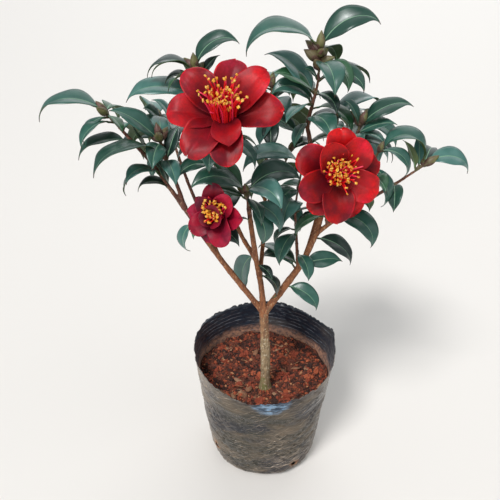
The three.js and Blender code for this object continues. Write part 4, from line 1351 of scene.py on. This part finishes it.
def film_crease(bearing, height):
    """How far the film stands in or out of its smooth shape."""
    x, y = polar(FILM_RADIUS, bearing)
    creases = 0.0
    for depth, wide, tall, by_x, by_y, start, sharpness in FILM_CREASES:
        up = (height + by_x * x + by_y * y) / tall + start
        creases += depth * ridged(noisy(x / wide, y / wide, up), sharpness)
    swell = SWELL * noisy(x / 30, y / 30, height / 24 + 90)
    hoops = HOOPS * math.sin(height / HOOP_STEP + 2.5 * noisy(x / 20, y / 20, 5))
    above = float(smooth(SOIL_TOP - 4, SOIL_TOP + 4, height))
    calm = 1 - SOIL_CALM * bell((height - SOIL_TOP) / SOIL_CALM_HEIGHT)
    return calm * (creases * (1 - 0.3 * above) + swell) + hoops * above


def film_rim(bearing):
    """The rim's height, nicked and torn a little."""
    x, y = polar(FILM_RADIUS, bearing)
    across = math.sin(bearing)
    rim = BAG_HEIGHT + RIM_TILT * across - RIM_SAG * across**2
    torn = noisy(x / 6, y / 6, 3) + 0.3 * noisy(x / 1.8, y / 1.8, 9)
    nicked = ridged(noisy(x / 8, y / 8, 15), 6)
    return rim + RIM_WAVE * math.sin(5 * bearing + 1) + RIM_TEAR * torn - RIM_NICK * nicked


def make_bag():
    points = []
    bearings = all_round(FILM_SIDES)
    fold = math.radians(FOLD_BEARING)
    for ring in range(FLOOR_RINGS):
        radius = float(bag_radius(0, 0)) * (ring + 0.15) / FLOOR_RINGS
        points += [(*polar(radius, b), LIFTED) for b in bearings]
    for share in np.arange(FILM_ROWS) / (FILM_ROWS - 1):
        for b in bearings:
            z = share * film_rim(b)
            near_fold = bell((b - fold) / FOLD_WIDTH) * float(smooth(0.84, 1.0, share))
            creased = film_crease(b, z) * float(smooth(0, 0.06, share))
            radius = float(bag_radius(z, b)) - FILM_INSET + creased
            radius += FOLD_OUT * near_fold + RIM_LIP * float(smooth(0.975, 1.0, share))
            points.append((*polar(radius, b), z + FOLD_UP * near_fold + LIFTED))
    points = np.array(points)
    faces = wall_faces(FLOOR_RINGS + FILM_ROWS, FILM_SIDES)
    centres = points[faces].mean(1)
    torn = np.zeros(len(faces), bool)
    for k, (bearing, height) in enumerate(HOLES):
        away = centres - hole_place(bearing, height)
        aside = away @ toward(bearing + 90, 0)
        turn = np.arctan2(away[:, 2], aside)
        edge = HOLE_RADIUS * (1 + 0.25 * np.sin(3 * turn + k) + 0.15 * np.sin(7 * turn + 2 * k))
        near = np.linalg.norm(away, axis=1) < HOLE_REACH
        torn |= near & (np.hypot(aside, away[:, 2]) < edge)
    piece = Piece()
    piece.add(points, faces[~torn])
    piece.add(points[:FILM_SIDES], [np.arange(FILM_SIDES)[::-1]])
    obj = piece.build("film_bag", [film_outside(), film_inside()], "bag", ["grow_bag"])
    modified(obj, "WELD", merge_threshold=1e-5)
    modified(obj, "SOLIDIFY", thickness=FILM_THICK * MM, offset=-1, material_offset=1)


# The soil

SOIL_ROUGHNESS = 0.92
SOIL_WALL = ((1.5, 6), (8, 4), (30, 3.8), (SOIL_TOP - 12, 4), (SOIL_TOP - 4, 2.6))
BED_SIDES = 260
BED_RINGS = 100
BED_INSET = 1.9
CRUMBS = 7000
CLODS = 90
CHIPS = 30
STRAWS = 15
CLOD_GAP, CRUMB_GAP, LITTER_GAP = 6, 6.5, 9  # left free round the trunk
CLOD_SIZES = (2.0, 5.2)
CRUMB_LEAST = 0.4
CRUMB_GROWTH = 2.3
CLOD_ODDS = [0.4, 0.15, 0.35, 0.1]
# The odds of each crumb look on raised soil and in the hollows, where more dark crumbs stand in as
# painted shade
RAISED_ODDS, SHADED_HOLLOW_ODDS = [0.31, 0.26, 0.17, 0.16, 0.1], [0.18, 0.08, 0.2, 0.52, 0.02]
CHIP_SIZES = ((4, 13), (2.5, 7.5), (0.4, 0.8))  # length, width and thickness
CHIP_OUTLINE = ((-0.5, 0.5), (-0.2, 1), (0.25, 0.9), (0.5, 0.35))
CHIP_CORNERS = ((-1, -1), (-1, 1), (1, 1), (1, -1))
STRAW_LENGTHS = (6, 15)
STRAW_RADII = (0.22, 0.3)
LITTER_LIFT = 1.1


def from_trunk(x, y):
    return math.hypot(x - FOOT[0], y - FOOT[1])


def soil_height(x, y):
    rough = math.sin(x / 9) * math.cos(y / 7) + math.sin(x / 5 + y / 6)
    share = min(1, max(0, (from_trunk(x, y) - SOIL_LEVEL_RADIUS) / SOIL_SLOPE))
    clods = noisy(x / 8, y / 8, 4) + 0.7 * noisy(x / 3.4, y / 3.4, 8)
    crumbly = noise.fractal(Vector((x / 1.4, y / 1.4, 0)), 0.7, 2.0, 3)
    return SOIL_TOP + SOIL_MOUND * share * rough + 2.0 * clods + 0.7 * crumbly


def bed_radius(bearing):
    return float(bag_radius(SOIL_TOP, bearing)) - BED_INSET


def soil_spot(bearing, share, inset=0.0):
    """A point on the soil, at a share of the way to its edge."""
    x, y = polar((bed_radius(bearing) - inset) * share, bearing)
    return np.array([x, y, soil_height(x, y)])


def make_soil():
    bearings = all_round(BED_SIDES)
    rings = [[(*polar(bag_radius(height, b) - inset, b), height) for b in bearings]
             for height, inset in SOIL_WALL]
    rings += [[soil_spot(b, share) for b in bearings] for share in np.linspace(1, 0.01, BED_RINGS)]
    bed = Piece()
    bed.loft(rings)
    # The soil's red, and the dark used for its mottling and for the painted shade in its hollows
    red, dark = (0.22, 0.055, 0.024), (0.028, 0.01, 0.007)
    bed.build("soil_bed", [bed_material(red, dark)], "soil", ["soil"])
    rng = np.random.default_rng(5)
    make_crumbs(rng)
    make_litter(rng)


def strewn(rng, reach=1.0):
    """A bearing and a share of the way out, drawn evenly over the soil."""
    return rng.uniform(0, 2 * math.pi), math.sqrt(rng.random()) * reach


def ball_shape():
    """An icosahedron's points and faces, for crumbs."""
    g = (1 + math.sqrt(5)) / 2
    points = [(-1, g, 0), (1, g, 0), (-1, -g, 0), (1, -g, 0), (0, -1, g), (0, 1, g),
              (0, -1, -g), (0, 1, -g), (g, 0, -1), (g, 0, 1), (-g, 0, -1), (-g, 0, 1)]
    points = np.array(points, float)
    points /= np.linalg.norm(points[0])
    near = np.linalg.norm(points[:, None] - points[None], axis=2) < 1.1
    faces = [(i, j, k) if np.linalg.det(points[[i, j, k]]) > 0 else (i, k, j)
             for i, j, k in combinations(range(len(points)), 3)
             if near[i, j] and near[j, k] and near[i, k]]
    return points, np.array(faces)


def finer(points, faces):
    """Each face cut into four, with the new points moved out to the ball."""
    points, middles, cut = list(points), {}, []
    for face in faces:
        new = []
        for i, j in zip(face, np.roll(face, -1)):
            key = (min(i, j), max(i, j))
            if key not in middles:
                middles[key] = len(points)
                points.append(unit(points[i] + points[j]))
            new.append(middles[key])
        (a, b, c), (ab, bc, ca) = face, new
        cut += [(a, ab, ca), (ab, b, bc), (ca, bc, c), (ab, bc, ca)]
    return np.array(points), np.array(cut)


def drop(piece, shape, faces, place, odds, rng):
    """Adds a lump, turned at random, in a look picked by its odds."""
    turn = rng.uniform(0, PHASES)
    x, y = spoke(turn, shape[:, 0], -shape[:, 1]), spoke(turn, shape[:, 1], shape[:, 0])
    piece.add(np.stack([x, y, shape[:, 2]], 1) + place, faces, rng.choice(len(odds), p=odds))


def make_crumbs(rng):
    """Clods, half sunk and each rough all over, and crumbs that are darker in patches taken as
    hollows, as painted shade.
    """
    ball, faces = ball_shape()
    crumbs = Piece()
    fine_ball, fine_faces = finer(*finer(ball, faces))
    for _ in range(CLODS):
        bearing, share = strewn(rng, 0.94)
        size = rng.uniform(*CLOD_SIZES)
        spot = soil_spot(bearing, share, size)
        if from_trunk(*spot[:2]) < CLOD_GAP + size:
            continue
        shift = rng.uniform(0, 90, 3)
        rough = np.array([noise.fractal(Vector(p * 1.6 + shift), 0.5, 2.0, 4) for p in fine_ball])
        shape = fine_ball * (size * (1 + 0.75 * rough))[:, None] * [1, rng.uniform(0.5, 1), 0.5]
        drop(crumbs, shape, fine_faces, spot, CLOD_ODDS, rng)
    for _ in range(CRUMBS):
        bearing, share = strewn(rng)
        size = CRUMB_LEAST + CRUMB_GROWTH * rng.random() ** 5
        spot = soil_spot(bearing, share, size - CRUMB_LEAST)
        if from_trunk(*spot[:2]) < CRUMB_GAP:
            continue
        squeeze = [1, rng.uniform(0.45, 1), rng.uniform(0.4, 0.85)]
        shape = ball * size * rng.uniform(0.5, 1.35, (12, 1)) * squeeze
        # Crumbs in noise patches taken as hollows get more dark looks, as painted shade.
        is_shaded_hollow = noisy(spot[0] / 6.5, spot[1] / 6.5, 4) <= -0.08
        place = spot + [0, 0, 0.25 * size]
        drop(crumbs, shape, faces, place, SHADED_HOLLOW_ODDS if is_shaded_hollow else RAISED_ODDS, rng)
    crumbs.build("soil_crumbs", palette(soil_material, [
        ("crumb_red", (0.31, 0.06, 0.026), (0.2, 0.038, 0.018)),
        ("crumb_rust", (0.46, 0.115, 0.045), (0.31, 0.066, 0.028)),
        ("crumb_brown", (0.18, 0.05, 0.028), (0.11, 0.031, 0.019)),
        ("crumb_dark", (0.034, 0.014, 0.011), (0.055, 0.022, 0.015)),
        ("crumb_tan", (0.55, 0.27, 0.13), (0.4, 0.17, 0.08)),
    ]), "soil", flat=True)


def chip_rings(base, way, rng):
    length, wide, thick = (rng.uniform(*sizes) for sizes in CHIP_SIZES)
    side = unit(np.cross(way, [0, 0, 1]) + rng.normal(0, 0.25, 3))
    up = np.cross(side, way)
    return [[base + way * s * length + side * c * w * wide / 2 + up * d * thick / 2
             for c, d in CHIP_CORNERS] for s, w in CHIP_OUTLINE]


def make_litter(rng):
    """Chips of bark and bits of straw on the soil."""
    litter = Piece()
    for k in range(CHIPS + STRAWS):
        spot = soil_spot(*strewn(rng, 0.9))
        way = toward(rng.uniform(0, 360), rng.uniform(-8, 22))
        base = spot + [0, 0, LITTER_LIFT]
        if from_trunk(*spot[:2]) < LITTER_GAP:
            continue
        if k < CHIPS:
            litter.loft(chip_rings(base, way, rng), int(rng.integers(2)))
        else:
            half = way * rng.uniform(*STRAW_LENGTHS) / 2
            bow = rng.normal(0, 1.6, 3) * [1, 1, 0.3]
            add_rod(litter, [base - half, base + bow, base + half], np.linspace(0, 1, 8),
                    lambda s: rng.uniform(*STRAW_RADII), 2)
    litter.build("soil_litter", palette(soil_material, [
        ("chip_tan", (0.3, 0.14, 0.075), (0.19, 0.085, 0.045)),
        ("chip_pale", (0.42, 0.24, 0.14), (0.3, 0.15, 0.085)),
        ("straw", (0.5, 0.28, 0.14), (0.34, 0.17, 0.08)),
    ]), "soil")


# The stage

FLOOR_HALF = 40
FLOOR_COLOUR = (0.77, 0.735, 0.695)
SKY_COLOUR = (0.87, 0.94, 1.0, 1)
SKY_STRENGTH = 0.34
# Each sun's place, its width in degrees and its strength
SUNS = {
    "key": ((-0.5, -0.75, 1.15), 16, 2.4),
    "fill": ((0.9, -0.5, 0.9), 50, 0.3),
    "front": ((-0.45, -1.0, 0.35), 16, 0.7),
    "rim": ((0.25, 1.0, 0.75), 70, 1.0),
}
CAMERA_AT = (-16, -455, 512)
CAMERA_PITCH = 28
CAMERA_LENS = 36
CAMERA_SENSOR = 36


def make_stage():
    mesh = bpy.data.meshes.new("floor")
    corners = [(x * FLOOR_HALF, y * FLOOR_HALF, 0) for x, y in ((-1, -1), (1, -1), (1, 1), (-1, 1))]
    mesh.from_pydata(corners, [], [(0, 1, 2, 3)])
    mesh.materials.append(Look("floor", FLOOR_COLOUR, 0.6).made)
    obj = placed("floor", mesh)

    world = bpy.data.worlds.new("studio")
    world.use_nodes = True
    sky = world.node_tree.nodes["Background"].inputs
    sky["Color"].default_value = SKY_COLOUR
    sky["Strength"].default_value = SKY_STRENGTH
    bpy.context.scene.world = world

    for name, (place, angle, strength) in SUNS.items():
        data = bpy.data.lights.new(name, "SUN")
        data.angle = math.radians(angle)
        data.energy = strength
        placed(name, data).rotation_euler = (-Vector(place)).to_track_quat("-Z", "Y").to_euler()


def make_camera():
    data = bpy.data.cameras.new("camera")
    data.sensor_width = CAMERA_SENSOR
    data.lens = CAMERA_LENS
    data.clip_start = 0.01
    obj = placed("camera", data)
    obj.location = [value * MM for value in CAMERA_AT]
    obj.rotation_euler = (math.radians(90 - CAMERA_PITCH), 0, 0)
    bpy.context.scene.camera = obj


make_camera()
make_stage()
limbs = grow_limbs()
stems = {name: mass_stem(name, limbs) for name in MASSES}
crown = Crown(limbs, stems)
make_leaves(crown)
make_bark(limbs)
make_twigs(limbs, stems)
make_buds(limbs, stems, crown)
make_blooms()
make_bag()
make_soil()
bpy.context.scene.view_settings.view_transform = "Standard"
